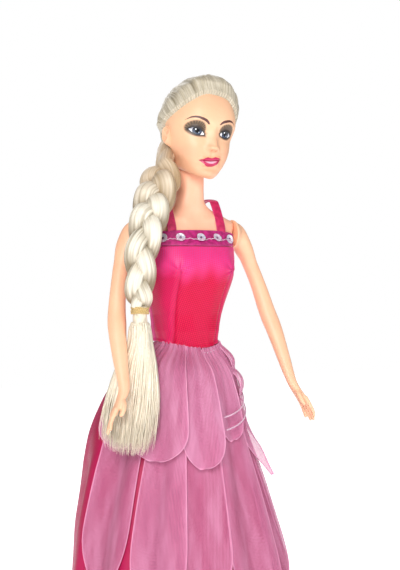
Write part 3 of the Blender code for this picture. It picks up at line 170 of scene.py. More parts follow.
# Other sizes in millimetres, turns in degrees, counts, and how square two sections are
TORSO_SQUARE = 2 / 2.25
SKULL_SQUARE = 2.2
SEAM_LAP = 0.15
BUST_RISE = 4.6
BUST_X = 9.2
BUST_HEIGHT = 214.5
BUST_SPREAD = 6.4
WAIST_TUCK = 2.0
ARM_TURN = 40.0
HAND_TURN = 62.0
FINGER_PITCH = 1.42
FINGER_RADII = (0.86, 0.84, 0.74, 0.56)
THUMB_RADII = (1.35, 1.15, 0.95, 0.66)
HEAD_TILT = (3.5, 10.5, 4.0)
HAIRS_ROUND = 1100
HAIR_PLUG = 1.15
TAIL_HALF_WIDTH = 11.0
TAIL_FIBRES = 1300
BRAID_PITCH = 34.0
BAND_WIDTH = 6.2
BAND_REACH = 62.0
STRAP_X = 11.2
STRAP_HALF_WIDTH = 1.9
STRAP_RISE = 3.8
SKIRT_FOLDS = 11
SKIRT_SWELL = 4.6
PETAL_THICKNESS = 0.22
STITCHES = 13
# The plug in the neck: heights and radii
PLUG_ROWS = (
    (242.2, 2.9), (250.4, 2.9), (250.7, 3.6), (251.3, 3.6), (251.6, 2.9), (257.0, 2.9), (257.3, 4.6),
    (258.9, 4.6), (260.3, 2.6), (260.7, 0.4),
)
# Each finger's reach and curl, and the thumb's points: forward, inward and down from the palm's heel
FINGERS = ((8.0, 0.9), (9.4, 0.6), (9.2, 0.5), (7.4, 0.8))
THUMB = ((0.6, 0.0, 0.0), (2.3, 1.0, 2.0), (3.0, 1.5, 4.6), (3.1, 1.3, 7.0))
# The head's neck hole: degrees from the top of the skull, and how far in
NECK_HOLE = ((157.9, 0.6), (157.5, 1.2), (153.0, 1.4), (146.0, 1.6))
# The face: its lean in radians, the eye's centre, the broad profile and the nose by height
FACE_ROLL = math.radians(4.5)
EYE_X, EYE_Z = 6.5, 16.8
BROAD = (
    (-4.0, 0.0), (-1.5, 0.0), (0.5, 0.1), (3.0, -0.1), (6.0, 0.1), (9.0, 0.0), (12.0, -0.2), (15.0, -0.6),
    (18.0, -0.9), (21.0, -0.9), (24.0, -1.2), (27.0, -1.5), (30.0, -1.6), (33.0, -1.4), (36.0, -0.9),
    (38.0, 0.0),
)
NOSE = (
    (6.4, 0.0), (7.6, 0.05), (8.6, 0.35), (9.2, 0.9), (9.7, 1.9), (10.2, 2.7), (10.9, 3.0), (11.8, 2.6),
    (13.2, 2.0), (15.0, 1.15), (17.0, 0.55), (19.0, 0.25), (21.0, 0.1), (22.5, 0.0),
)
# Soft forms of the face: amount, place and spread across and up
FACE_SPOTS = (
    (0.75, 1.75, 10.25, 0.75, 0.85), (-0.30, 0.90, 9.35, 0.45, 0.40), (-1.55, 6.0, 16.9, 3.1, 2.3),
    (0.55, EYE_X, EYE_Z, 2.1, 1.6), (-0.45, 3.0, 17.6, 1.4, 2.2), (0.45, 6.4, 21.3, 3.4, 1.3),
    (0.55, 8.2, 10.5, 3.2, 2.6), (-0.30, 0.0, 8.2, 0.55, 0.8), (-0.55, 0.0, 2.6, 3.2, 0.75),
    (0.50, 0.0, -0.2, 3.2, 1.7),
)
# Lines drawn on the face: the eye's two lids and the brow (with its half height) from the eye's
# centre, and the lips from the mouth's middle
LID_TOP = (
    (-3.6, -1.3), (-2.8, -0.80), (-2.2, 0.0), (-1.1, 0.90), (0.3, 1.18), (1.8, 0.90), (2.7, 0.35),
    (3.4, -0.20),
)
LID_LOW = (
    (-3.6, -1.1), (-2.8, -1.15), (-2.2, -1.25), (-1.1, -1.45), (0.3, -1.45), (1.8, -0.96), (2.7, -0.30),
    (3.4, 0.10),
)
BROW = (
    (-4.0, 3.2, 0.10), (-3.6, 3.55, 0.42), (-2.6, 4.35, 0.48), (-1.0, 4.95, 0.46), (0.9, 5.40, 0.36),
    (2.7, 5.1, 0.24), (3.8, 4.3, 0.12), (4.4, 3.7, 0.02),
)
LIP_TOP = (
    (0.0, 6.60), (0.8, 6.80), (1.6, 7.05), (2.6, 6.85), (3.8, 6.42), (5.0, 6.05), (5.6, 5.9),
)
LIP_LOW = ((0.0, 3.15), (1.2, 3.25), (2.5, 3.85), (3.8, 4.95), (5.0, 6.05), (5.6, 6.2))
MOUTH_LINE = ((0.0, 5.45), (1.5, 5.55), (3.0, 5.75), (5.0, 6.05), (6.0, 6.1))
# Loose hair: drop, right, forward, half width and half thickness
TAIL_ROWS = (
    (0.580, 1.400, 0.755, 0.27, 0.24), (0.620, 1.390, 0.740, 0.36, 0.28), (0.742, 1.380, 0.715, 0.46, 0.29),
    (0.875, 1.430, 0.680, 0.70, 0.30), (1.075, 1.550, 0.760, 0.90, 0.31), (1.275, 1.700, 0.900, 0.92, 0.27),
    (1.440, 1.770, 0.970, 0.76, 0.18), (1.540, 1.790, 0.990, 0.50, 0.08),
)
# Darts of the bodice: heights, and how far from the middle
RIGHT_DART = ((184.0, 10.2), (199.0, 10.5), (216.0, 11.3))
LEFT_DART = ((184.0, 7.4), (195.7, 9.6), (207.6, 10.6), (214.9, 12.6))
# Sequins: angles round the neckline, and the disc's section as radii and heights off the band
SEQUIN_ANGLES = (-46.0, -23.0, 0.0, 18.8, 41.5)
SEQUIN_RINGS = ((0.46, 0.62), (0.62, 0.60), (1.0, 0.66), (1.4, 0.80), (1.75, 0.96), (1.88, 0.99),
                (1.88, 0.90), (1.75, 0.82), (1.4, 0.68), (1.0, 0.53), (0.62, 0.46), (0.46, 0.48))
# Petals: middle angle, width in degrees, length as a share of the skirt's, lift, and the half that
# they turn with
UPPER = (("right_side", -82.0, 36.0, 0.345, 2.0, None), ("right_front", -49.0, 46.0, 0.368, 4.2, "right"),
         ("centre_front", -14.5, 32.0, 0.378, 3.6, "right"), ("left_front", 17.0, 34.0, 0.300, 2.2, "left"),
         ("left_side", 48.0, 38.0, 0.300, 1.7, "left"), ("left_back", 88.0, 40.0, 0.250, 1.7, None))
LOWER = (("right_side", -78.0, 34.0, 0.800, 1.0, None), ("right_front", -43.0, 32.0, 0.850, 2.0, "right"),
         ("right_inner", -29.0, 56.0, 0.840, 1.0, "right"), ("centre_front", 17.0, 38.0, 0.860, 1.3, "left"),
         ("left_front", 47.0, 38.0, 0.830, 0.9, "left"), ("left_side", 80.0, 42.0, 0.800, 0.9, None))
# Petals at the side: middle angle, width, top and end, lift, how pointed, and how far they flare
ASIDE = (("pointed_petal", 60.0, 34.0, 0.05, 0.462, 1.5, 0.93, 4.2),
         ("side_puff_low", 68.0, 34.0, 0.098, 0.182, 2.0, 0.0, 2.2),
         ("side_puff_high", 66.0, 34.0, 0.010, 0.090, 1.9, 0.0, 1.8))


def hermite(rows, at):
    """Rows of (place, value, ...) read at an array of places, on a smooth curve through them."""
    table = np.array(rows, float)
    x, v = table[:, 0], table[:, 1:]
    at = np.clip(np.asarray(at, float), x[0], x[-1])
    k = np.clip(np.searchsorted(x, at, side="right") - 1, 0, len(x) - 2)
    low, high = np.maximum(k - 1, 0), np.minimum(k + 2, len(x) - 1)
    span = x[k + 1] - x[k]
    t = ((at - x[k]) / span)[..., None]
    rise_low = (v[k + 1] - v[low]) / np.maximum(x[k + 1] - x[low], span)[..., None] * span[..., None]
    rise_high = (v[high] - v[k]) / np.maximum(x[high] - x[k], span)[..., None] * span[..., None]
    return ((2 * t**3 - 3 * t**2 + 1) * v[k] + (t**3 - 2 * t**2 + t) * rise_low
            + (3 * t**2 - 2 * t**3) * v[k + 1] + (t**3 - t**2) * rise_high)


def evenly(rows, at):
    """A smooth curve through rows at even places from 0 to 1, read at places on it."""
    return hermite([(i / (len(rows) - 1), *row) for i, row in enumerate(rows)], at)


def ease(low, high, at):
    """A smooth step from 0 at low to 1 at high."""
    t = np.clip((np.asarray(at, float) - low) / (high - low), 0, 1)
    return t * t * (3 - 2 * t)


def bell(at, middle, width):
    """1 at the middle, and 1/e at a width from it."""
    return np.exp(-(((at - middle) / width) ** 2))


def bump(x, z, cx, cz, sx, sz):
    """1 at a centre, falling off by a spread in each of two ways."""
    return np.exp(-(((x - cx) / sx) ** 2 + ((z - cz) / sz) ** 2) / 2)


def bezier(a, b, c, t):
    return (1 - t) ** 2 * a + 2 * t * (1 - t) * b + t**2 * c


def unit(v):
    return v / np.maximum(np.linalg.norm(v, axis=-1, keepdims=True), 1e-9)


def ways(angle):
    """X and Y of the unit vectors at angles from the front."""
    a = np.radians(angle)
    return np.sin(a), -np.cos(a)


def power(value, p):
    return np.sign(value) * np.abs(value) ** p


def xyz(x, y, z):
    """Points from three numbers or arrays of any fitting shapes."""
    return np.stack([np.asarray(v, float) for v in np.broadcast_arrays(x, y, z)], -1)


def distances(line):
    """How far along a line each of its points is."""
    return np.concatenate([[0], np.cumsum(np.linalg.norm(np.diff(line, axis=0), axis=1))])


def smooth_noise(count, cell, amount):
    """A ring of random numbers, smoothed over about one cell in so many places."""
    knots = max(4, int(round(count / cell)))
    values = rng.uniform(-amount, amount, knots)
    at = np.arange(count) / count * knots
    k = at.astype(int)
    t = at - k
    t = t * t * (3 - 2 * t)
    return values[k % knots] * (1 - t) + values[(k + 1) % knots] * t


def between(rows, at):
    """Rows of numbers read at places from 0 to 1, straight between neighbours."""
    place = at * (len(rows) - 1.001)
    k = place.astype(int)
    t = (place - k)[:, None]
    return rows[k] * (1 - t) + rows[k + 1] * t


def grid_quads(rows, columns, wrap=False):
    r = np.arange(rows - 1)[:, None] * columns
    c = np.arange(columns if wrap else columns - 1)[None, :]
    d = (c + 1) % columns
    return np.stack([r + c, r + d, r + columns + d, r + columns + c], -1).reshape(-1, 4)


def make(name, points, faces, material, fields=None, extra=()):
    """A mesh piece from points in millimetres, quads, other faces, and named numbers per point."""
    mesh = bpy.data.meshes.new(name)
    points = np.asarray(points, float).reshape(-1, 3) * MM
    mesh.from_pydata(points.tolist(), [], [tuple(f) for f in faces.tolist()] + list(extra))
    mesh.update()
    mesh.shade_smooth()
    for field, values in (fields or {}).items():
        made = mesh.attributes.new(field, "FLOAT", "POINT")
        made.data.foreach_set("value", np.asarray(values, np.float32).ravel())
    obj = bpy.data.objects.new(name, mesh)
    bpy.context.scene.collection.objects.link(obj)
    obj.data.materials.append(material)
    return obj


def tube_points(line, across, up, half_across, half_up, sides):
    """Rings of a tube: line is (n, 3), across and up (n, 3) or (3,), half sizes (n,) or (n, sides)."""
    a = np.linspace(0, 2 * np.pi, sides, endpoint=False)
    across, up = (np.broadcast_to(v, line.shape)[:, None] for v in (across, up))
    half_across, half_up = (h[:, None] if h.ndim == 1 else h for h in (half_across, half_up))
    wide, high = (half_across * np.cos(a))[..., None], (half_up * np.sin(a))[..., None]
    return line[:, None] + across * wide + up * high


def outward(obj):
    work = bmesh.new()
    work.from_mesh(obj.data)
    bmesh.ops.recalc_face_normals(work, faces=work.faces)
    work.to_mesh(obj.data)
    work.free()


def outward_open(obj):
    """Turns an open skin's faces so that most of them look away from its middle."""
    mesh = obj.data
    middle = sum((v.co for v in mesh.vertices), Vector()) / len(mesh.vertices)
    if sum((p.center - middle).dot(p.normal) * p.area for p in mesh.polygons) < 0:
        mesh.flip_normals()


def closed(name, rings, material, fields=None):
    """A closed solid through rings of points, with its ends closed."""
    n, sides = rings.shape[:2]
    ends = [tuple(range(sides - 1, -1, -1)), tuple(range((n - 1) * sides, n * sides))]
    obj = make(name, rings, grid_quads(n, sides, True), material, fields, ends)
    outward(obj)
    return obj


def cloth(name, grid, material, thickness, fields=None, wrap=False, outside=True):
    """A skin on a grid of points whose faces point out of the body, thickened by a modifier."""
    obj = make(name, grid, grid_quads(*grid.shape[:2], wrap), material, fields)
    solid = obj.modifiers.new("thickness", "SOLIDIFY")
    solid.thickness = thickness * MM
    solid.offset = 1.0 if outside else -1.0
    return obj


def grid_normals(grid):
    """Unit normals of a grid whose columns run to the doll's left and rows upward, facing out."""
    return unit(np.cross(np.gradient(grid, axis=1), np.gradient(grid, axis=0)))


def shell(name, grid, thickness, material, fields):
    """A closed sheet on an open grid: its inside is the grid and its outside stands off it."""
    rows, columns = grid.shape[:2]
    outer = grid + grid_normals(grid) * np.broadcast_to(thickness, (rows, columns))[..., None]
    count = rows * columns
    quads = grid_quads(rows, columns)
    border = np.concatenate([np.arange(columns), np.arange(1, rows) * columns + columns - 1,
                             (rows - 1) * columns + np.arange(columns - 2, -1, -1),
                             np.arange(rows - 2, 0, -1) * columns])
    after = np.roll(border, -1)
    rim = np.stack([border, after, after + count, border + count], -1)
    faces = np.concatenate([quads + count, quads[:, ::-1], rim])
    return make(name, [grid, outer], faces, material, {key: [v, v] for key, v in fields.items()})


def frames(line, face):
    """Across and up vectors along a line, with up as near to the facing vectors as it can be."""
    ahead = unit(np.gradient(line, axis=0))
    across = unit(np.cross(ahead, face))
    return across, unit(np.cross(across, ahead))


def fields_on(shape, **values):
    """Named numbers, each spread over every point of a grid."""
    return {key: np.broadcast_to(v, shape[:2]) for key, v in values.items()}


def woven(grid, **more):
    """Weave coordinates in millimetres, along a grid's columns and up its rows, and other fields."""
    u = np.cumsum(np.linalg.norm(np.diff(grid, axis=1, prepend=grid[:, :1]), axis=2), 1)
    v = np.cumsum(np.linalg.norm(np.diff(grid, axis=0, prepend=grid[:1]), axis=2), 0)
    return fields_on(grid.shape, weave_u=u - u.mean(1, keepdims=True), weave_v=v, **more)


def dress(obj, slot, *nodes):
    """Hides any nodes that a piece stands for; slot is not used."""
    if nodes:
        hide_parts(*nodes)


def attach(obj, body, slot, *nodes):
    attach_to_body(obj, body)
    dress(obj, slot, *nodes)


def shade(r, g, b):
    """A display colour, 0 to 255, as the shader's linear values."""
    parts = [c / 255 for c in (r, g, b)]
    return (*(c / 12.92 if c <= 0.04045 else ((c + 0.055) / 1.055) ** 2.4 for c in parts), 1.0)


def operator(name, flipped=False):
    """A way to write a math node on a wire as a Python operator."""
    def apply(self, other):
        return self.nodes.math(name, *((other, self) if flipped else (self, other)))
    return apply


class Wire:
    """A node's output; sums and products of wires make the nodes for them."""

    def __init__(self, nodes, socket):
        self.nodes, self.socket = nodes, socket

    __add__ = operator("ADD")
    __mul__ = operator("MULTIPLY")
    __sub__ = operator("SUBTRACT")
    __rsub__ = operator("SUBTRACT", flipped=True)
    __truediv__ = operator("DIVIDE")


class Nodes:
    """A node tree, with short ways to add to it."""

    def __init__(self, tree):
        self.tree = tree

    def put(self, socket, value):
        if isinstance(value, Wire):
            value = value.socket
        if isinstance(value, bpy.types.NodeSocket):
            self.tree.links.new(value, socket)
        else:
            socket.default_value = value

    def add(self, kind, values, out=0, **settings):
        """A new node's output, with its inputs' values and its own settings given."""
        node = self.tree.nodes.new("ShaderNode" + kind)
        for key, value in settings.items():
            setattr(node, key, value)
        for key, value in values.items():
            self.put(node.inputs[key], value)
        return Wire(self, node.outputs[out])

    def math(self, operation, *values):
        return self.add("Math", dict(enumerate(values)), operation=operation)

    def sine(self, angle):
        return self.math("SINE", angle)

    def mix(self, share, a, b):
        return self.add("Mix", {0: share, 6: a, 7: b}, 2, data_type="RGBA")

    def layers(self, colour, *coats):
        """A colour with coats of (share, colour) laid over it in turn."""
        for share, coat in coats:
            colour = self.mix(share, colour, coat)
        return colour

    def step(self, low, high, value):
        """0 below low and 1 above high, smoothly."""
        values = {"Value": value, "From Min": low, "From Max": high}
        return self.add("MapRange", values, interpolation_type="SMOOTHSTEP")

    def attrs(self, *names):
        return [self.add("Attribute", {}, "Fac", attribute_name=name) for name in names]

    def vector(self, x, y):
        return self.add("CombineXYZ", {0: x, 1: y})

    def place(self):
        """The point's place on the object, in millimetres."""
        at = self.add("TexCoord", {}, "Object")
        return self.add("VectorMath", {0: at, "Scale": 1 / MM}, operation="SCALE")

    def noise(self, where, scale, detail=2.0):
        return self.add("TexNoise", {"Vector": where, "Scale": scale, "Detail": detail})

    def weave(self, one, two, pitch):
        """0 to 1, where threads in two directions cross at a pitch."""
        turns = 2 * math.pi / pitch
        return self.sine(one * turns) * self.sine(two * turns) * 0.5 + 0.5


class Stuff(Nodes):
    """A procedural material: nodes added round its Principled shader."""

    def __init__(self, name, **fixed):
        self.material = bpy.data.materials.new(name)
        self.material.use_nodes = True
        super().__init__(self.material.node_tree)
        self.inputs = self.tree.nodes["Principled BSDF"].inputs
        for key, value in fixed.items():
            self.inputs[key.replace("_", " ")].default_value = value

    def surface(self, colour, rough, height, depth, strength):
        """Colour, roughness, and relief of so many millimetres."""
        self.put(self.inputs["Base Color"], colour)
        self.put(self.inputs["Roughness"], rough)
        values = {"Height": height, "Distance": depth * MM, "Strength": strength}
        self.put(self.inputs["Normal"], self.add("Bump", values))


def skin_stuff(name, light, deep):
    """Moulded vinyl: faint mottling, soft grain, and light that goes a little way in."""
    made = Stuff(name, Subsurface_Weight=0.04, Subsurface_Radius=(1.0, 0.45, 0.25), Subsurface_Scale=0.001)
    at = made.place()
    fine = made.noise(at, 5.0, 3.0)
    colour = made.layers(light, (made.step(0.35, 0.65, made.noise(at, 0.09, 3.0)) * 0.35, deep),
                         (made.step(0.45, 0.75, fine) * 0.10, shade(255, 236, 214)))
    made.surface(colour, fine * 0.16 + 0.36, made.noise(at, 7.0, 4.0), 0.02, 0.5)
    return made


def face_stuff():
    """The head's vinyl with its printed make-up, placed by face coordinates in millimetres, and painted
    light: glints in the eyes, a highlight on the lower lip, and shade towards the chin and in the nostrils.
    """
    made = skin_stuff("face_vinyl", shade(242, 192, 154), shade(239, 182, 144))
    vinyl = made.inputs["Base Color"].links[0].from_socket
    fx, fz, painted, ex, ez = made.attrs("face_x", "face_z", "face_front", "eye_x", "eye_z")
    lid, brow, lip, lip_highlight, seam = made.attrs("lid", "brow", "lip", "lip_highlight", "mouth_line")

    def far(dx, dz):
        return made.math("SQRT", dx * dx + dz * dz)

    def oval(cx, cz, rx, rz):
        """How far out of an oval a point is: 1 on its edge."""
        return far((ex - cx) / rx, (ez - cz) / rz)

    def below(value, low, high):
        return 1.0 - made.step(low, high, value)

    def inside(value, low, high, weight=1.0):
        return below(value, low, high) * weight * painted

    def glint(x, z, near, reach, weight=1.0):
        return inside(far(ex * made.math("SIGN", fx) - x, ez - z), near, reach, weight)

    round_eye = oval(0.55, 0.92, 3.95, 3.30)
    angle = made.math("ARCTAN2", ez + 1.6, ex)
    wobble = made.noise(made.vector(angle * 3.0, 0.0), 2.0)
    lashes = made.sine(angle * 36.0 + wobble * 3.0)
    upper = made.step(-1.2, 0.6, ez)
    gaps = made.step(-0.1, 0.7, lashes * -1.0) * made.step(0.45, 0.75, round_eye) * upper
    white = made.mix(made.step(-0.4, 1.0, ez), shade(238, 238, 244), shade(150, 150, 165))
    iris = oval(0.0, 0.0, 1.86, 1.86)
    spokes = made.noise(made.vector(made.math("ARCTAN2", ez, ex) * 5.0, iris), 4.0, 3.0)
    hue = made.layers(
        shade(38, 44, 60), (spokes, shade(84, 98, 122)), (made.step(0.70, 0.98, iris), shade(22, 24, 36)),
        (below(iris, 0.42, 0.54), shade(8, 8, 12)), (made.step(-0.1, 0.9, ez), shade(12, 12, 18)))
    hairs = made.noise(made.vector(fx * 5.0, fz * 1.5), 1.0)
    # the pale patch near the middle of the lower lip is a painted highlight
    lips = made.layers(
        shade(206, 44, 98), (made.noise(made.vector(fx * 2.5, fz), 1.0), shade(178, 28, 78)),
        (below(lip_highlight, 0.55, 1.15), shade(246, 196, 216)), (below(seam, 0.05, 0.26), shade(150, 22, 62)))
    # painted shade: darker dots in the nostril hollows
    nostril = far(made.math("ABSOLUTE", fx) - 0.95, fz - 9.55)
    colour = made.layers(
        vinyl,
        # painted shade: the face turns darker and warmer towards the chin
        (below(fz, 4.0, 22.0) * 0.50, shade(226, 166, 130)),
        (inside(oval(1.3, -8.2, 4.2, 3.4), 0.2, 1.2, 0.16), shade(240, 146, 122)),
        (inside(oval(0.4, 2.7, 4.0, 2.2), 0.3, 1.15, 0.55), shade(192, 150, 112)),
        (inside(round_eye, 0.84, 1.06, 0.86), shade(104, 84, 64)),
        (inside(round_eye - (lashes * 0.10 + 0.86), -0.06, 0.05, 0.72) * upper, shade(62, 50, 42)),
        (gaps * inside(round_eye, 0.86, 1.0, 0.55), shade(138, 112, 82)),
        (inside(lid, 0.25, 1.05, 0.80), shade(42, 36, 38)),
        (inside(lid, 0.05, 0.34), shade(16, 13, 16)),
        (inside(lid, -0.12, 0.02), white),
        (inside(iris, 0.94, 1.04) * inside(lid, -0.06, 0.02), hue),
        (glint(-0.62, 0.52, 0.20, 0.36), shade(250, 250, 255)),
        (glint(0.66, -0.62, 0.12, 0.30, 0.8), shade(220, 226, 238)),
        (inside(brow + (hairs - 0.5) * 0.22, -0.06, 0.10, 0.95), shade(74, 36, 42)),
        (inside(lip, -0.08, 0.08), lips),
        (inside(nostril, 0.15, 0.45, 0.6), shade(196, 120, 90)),
    )
    made.put(made.inputs["Base Color"], colour)
    shiny = made.math("MAXIMUM", inside(lid, -0.1, 0.1), inside(lip, -0.1, 0.1))
    made.put(made.inputs["Roughness"], shiny * -0.18 + 0.44)
    return made.material


def hair_stuff(name, light, mid, dark, gold=0.0, stripes=1.0, shine=0.0):
    """Combed fibres: streaks and fine grooves along hair_v, with hair_u counted across them."""
    made = Stuff(name, Specular_IOR_Level=0.65, Sheen_Weight=0.12, Sheen_Roughness=0.4)
    u, v, low, golden = made.attrs("hair_u", "hair_v", "hair_low", "hair_gold")
    across = u + made.noise(made.vector(u, v * 0.12), 0.35) * 2.2

    def streak(fine, along, detail=2.0):
        return made.noise(made.vector(across * fine, v * along), 1.0, detail)

    wide, narrow, hairs = streak(0.9, 0.03), streak(4.0, 0.06), streak(14.0, 0.16, 3.0)
    colour = made.layers(
        light,
        (made.step(0.36, 0.66, wide) * stripes, mid),
        (made.step(0.46, 0.70, narrow) * (0.55 * stripes), dark),
        # painted highlight: paler where nothing is shaded, on the tops of the braid's locks
        ((1.0 - made.step(0.0, 0.30, low)) * shine, shade(255, 251, 238)),
        (made.step(0.50, 0.68, hairs) * 0.45, shade(255, 250, 238)),
        # painted shade: darker in grooves, in the gaps between the hairline's plugs and where locks run
        # under others; on loose fibres a random darker tone
        (low * 0.90, shade(122, 108, 80)),
        (golden * gold, shade(196, 152, 98)),
    )
    made.surface(colour, hairs * 0.22 + 0.20, hairs + narrow * 1.5, 0.11, 0.9)
    return made.material


def satin_stuff(name, red, pink, dots, pitch):
    """Satin: a fine diagonal weave in weave_u and weave_v, two tones where the pinker one is mostly painted
    sheen, painted shade in creases, and a silky sheen.
    """
    made = Stuff(name, Sheen_Weight=0.06, Sheen_Roughness=0.35, Sheen_Tint=shade(255, 120, 190),
                 Specular_IOR_Level=0.22)
    u, v, panel, crease = made.attrs("weave_u", "weave_v", "panel", "crease")
    weave = made.weave(u + v * 0.62, v - u * 0.62, pitch)
    cloud = made.noise(made.vector(u, v), 0.16, 3.0)
    slub = made.noise(made.vector(u * 0.5, v * 7.0), 1.0)
    # the pinker tone is painted sheen on the bodice's front and on the underskirt's folds, and a pinker tone
    # on the bodice's backs; the crease colour is painted shade
    colour = made.layers(
        red, (panel, pink), (made.step(0.4, 0.7, cloud) * 0.03, pink), (weave * dots, shade(240, 8, 88)),
        (made.step(0.5, 0.7, slub) * 0.14, shade(150, 5, 60)), (crease * 0.7, shade(140, 0, 45)))
    made.surface(colour, cloud * 0.2 + 0.30, weave + slub * 0.8, 0.03, 0.7)
    return made.material


def organza_stuff(name, colour, edge):
    """Sheer cloth: crossing threads that let the layer below show, denser at its rolled rim."""
    made = Stuff(name, Sheen_Weight=0.25, Sheen_Roughness=0.5, Sheen_Tint=shade(255, 210, 235),
                 Specular_IOR_Level=0.3)
    u, v, rim = made.attrs("weave_u", "weave_v", "rim")
    grid = made.weave(u + v, u - v, 1.1)
    grain = made.noise(made.vector(u, v * 0.6), 2.2, 3.0)
    folds = made.noise(made.vector(u, v * 0.22), 0.16, 3.0)
    # painted light and shade of soft folds: where the fold noise is high the cloth is paler and denser,
    # where it is low the crimson below shows through darker
    hue = made.layers(colour, (made.step(0.32, 0.68, folds), made.mix(0.6, colour, edge)),
                      (grid * 0.45, edge), (rim * 0.8, edge))
    cover = grid * 0.26 + 0.10 + grain * 0.06 + folds * 0.40 + rim * 0.35
    made.put(made.inputs["Alpha"], made.math("MINIMUM", cover, 1.0))
    made.surface(hue, grain * 0.2 + 0.5, grid, 0.03, 0.5)
    return made.material


def ribbon_stuff(name, deep, light):
    """Woven ribbon: fine ribs across it and a slightly paler selvedge."""
    made = Stuff(name, Sheen_Weight=0.3, Sheen_Roughness=0.4, Sheen_Tint=shade(255, 120, 200))
    u, v, rim = made.attrs("weave_u", "weave_v", "rim")
    ribs = made.sine(u * (2 * math.pi / 0.34)) * 0.5 + 0.5
    cloud = made.noise(made.vector(u, v), 0.5, 3.0)
    fine = made.noise(made.vector(u * 3.0, v * 9.0), 1.0)
    colour = made.layers(deep, (made.step(0.35, 0.65, cloud), light), (ribs * 0.22, light),
                         (rim * 0.5, shade(214, 80, 150)))
    made.surface(colour, fine * 0.25 + 0.30, ribs + fine * 0.6, 0.05, 0.8)
    return made.material


def thread_stuff(name, light, dark, twist):
    """Twisted thread: slanting plies by weave_u round it and weave_v along it."""
    made = Stuff(name, Sheen_Weight=0.2, Sheen_Roughness=0.5)
    u, v = made.attrs("weave_u", "weave_v")
    share = made.sine(u * 2.0 + v * (2 * math.pi / twist)) * 0.5 + 0.5
    fuzz = made.noise(made.place(), 6.0, 3.0)
    made.surface(made.mix(share * (fuzz + 0.2), light, dark), fuzz * 0.3 + 0.4, share, 0.08, 0.9)
    return made.material


def plain_stuff(name, one, two, roughness, grain, metallic=0.0, specular=0.5):
    """Moulded or turned material: two close tones in a cloudy noise, and a fine grain."""
    made = Stuff(name, Metallic=metallic, Specular_IOR_Level=specular)
    at = made.place()
    fine = made.noise(at, grain, 3.0)
    colour = made.mix(made.step(0.35, 0.65, made.noise(at, 0.25, 3.0)), one, two)
    made.surface(colour, fine * 0.18 + roughness, fine, 0.02, 0.5)
    return made


def sequin_stuff():
    """Pearly foil: pink, green and blue drift over silver."""
    made = Stuff("sequin_foil", Metallic=0.35, Coat_Weight=0.8, Coat_Roughness=0.05)
    at = made.place()
    wave = made.noise(at, 0.9)
    colour = made.layers(
        shade(226, 226, 236), (made.step(0.40, 0.60, wave), shade(250, 214, 236)),
        (made.step(0.52, 0.66, made.noise(at, 1.6)) * 0.6, shade(170, 226, 214)),
        (made.step(0.56, 0.66, made.noise(at, 2.3)) * 0.6, shade(160, 180, 240)))
    made.surface(colour, wave * 0.15 + 0.10, made.noise(at, 3.0), 0.05, 0.6)
    return made.material


skin = skin_stuff("arm_vinyl", shade(249, 194, 157), shade(245, 178, 141)).material
chest = skin_stuff("torso_plastic", shade(249, 188, 157), shade(245, 176, 143)).material
face = face_stuff()
hair = hair_stuff("combed_hair", shade(214, 204, 184), shade(184, 172, 146), shade(134, 120, 92))
braid_hair = hair_stuff("braided_hair", shade(238, 230, 212), shade(212, 198, 168), shade(164, 146, 112),
                        0.80, 0.60, 0.32)
tail_hair = hair_stuff("loose_hair", shade(240, 230, 208), shade(232, 220, 196), shade(216, 202, 176))
satin = satin_stuff("bodice_satin", shade(168, 0, 38), shade(224, 78, 158), 0.68, 1.30)
under_satin = satin_stuff("underskirt_satin", shade(158, 20, 66), shade(176, 32, 84), 0.10, 0.6)
organza = organza_stuff("upper_organza", shade(208, 102, 150), shade(242, 176, 210))
low_organza = organza_stuff("lower_organza", shade(204, 96, 144), shade(236, 162, 198))
band_stuff = ribbon_stuff("band_ribbon", shade(146, 14, 84), shade(196, 38, 124))
strap_stuff = ribbon_stuff("strap_ribbon", shade(170, 12, 68), shade(204, 30, 92))
pale_thread = thread_stuff("pale_thread", shade(244, 212, 230), shade(206, 150, 186), 1.2)
gold_thread = thread_stuff("gold_thread", shade(226, 196, 132), shade(168, 132, 72), 0.9)
white_thread = thread_stuff("stitch_thread", shade(248, 228, 238), shade(214, 168, 196), 0.7)
shoe = plain_stuff("shoe_plastic", shade(206, 34, 96), shade(190, 24, 84), 0.16, 6.0, specular=0.6)
steel = plain_stuff("steel", shade(186, 188, 192), shade(168, 170, 176), 0.22, 9.0, 1.0)
hook = plain_stuff("hook_tape", shade(232, 214, 222), shade(214, 190, 202), 0.7, 3.0)
bead_stuff = plain_stuff("bead_glass", shade(70, 40, 64), shade(120, 80, 110), 0.08, 4.0, specular=0.8)
foil = sequin_stuff()


def torso_points(height, angle, lift=0.0):
    """Points of the torso's skin moved out by a lift, at heights and angles from the front."""
    height, angle, lift = np.broadcast_arrays(*(np.asarray(v, float) for v in (height, angle, lift)))
    width, front, back = np.moveaxis(hermite(TORSO_ROWS, (height - HIP) / TORSO_LENGTH), -1, 0)
    wx, wy = ways(angle)
    x = power(wx, TORSO_SQUARE) * (width * HIP_HALF_WIDTH + lift)
    y = power(wy, TORSO_SQUARE) * (np.where(wy < 0, front, back) * HIP_HALF_DEPTH + lift)
    for side, _ in SIDES:
        bust = BUST_RISE * bump(x, height, side * BUST_X, BUST_HEIGHT, BUST_SPREAD, BUST_SPREAD)
        y = y - np.where(wy < 0, bust * np.minimum(1.0, -2 * wy), 0.0)
    x = x - WAIST_TUCK * np.exp(-(((height - 190.0) / 11.0) ** 2) / 2) * ease(0.0, 9.0, x)
    share = np.clip((height - SHOULDER) / (NECK_TOP - SHOULDER), 0, 1)
    return xyz(x + NECK_LEAN * ease(0, 1, share), y, height)


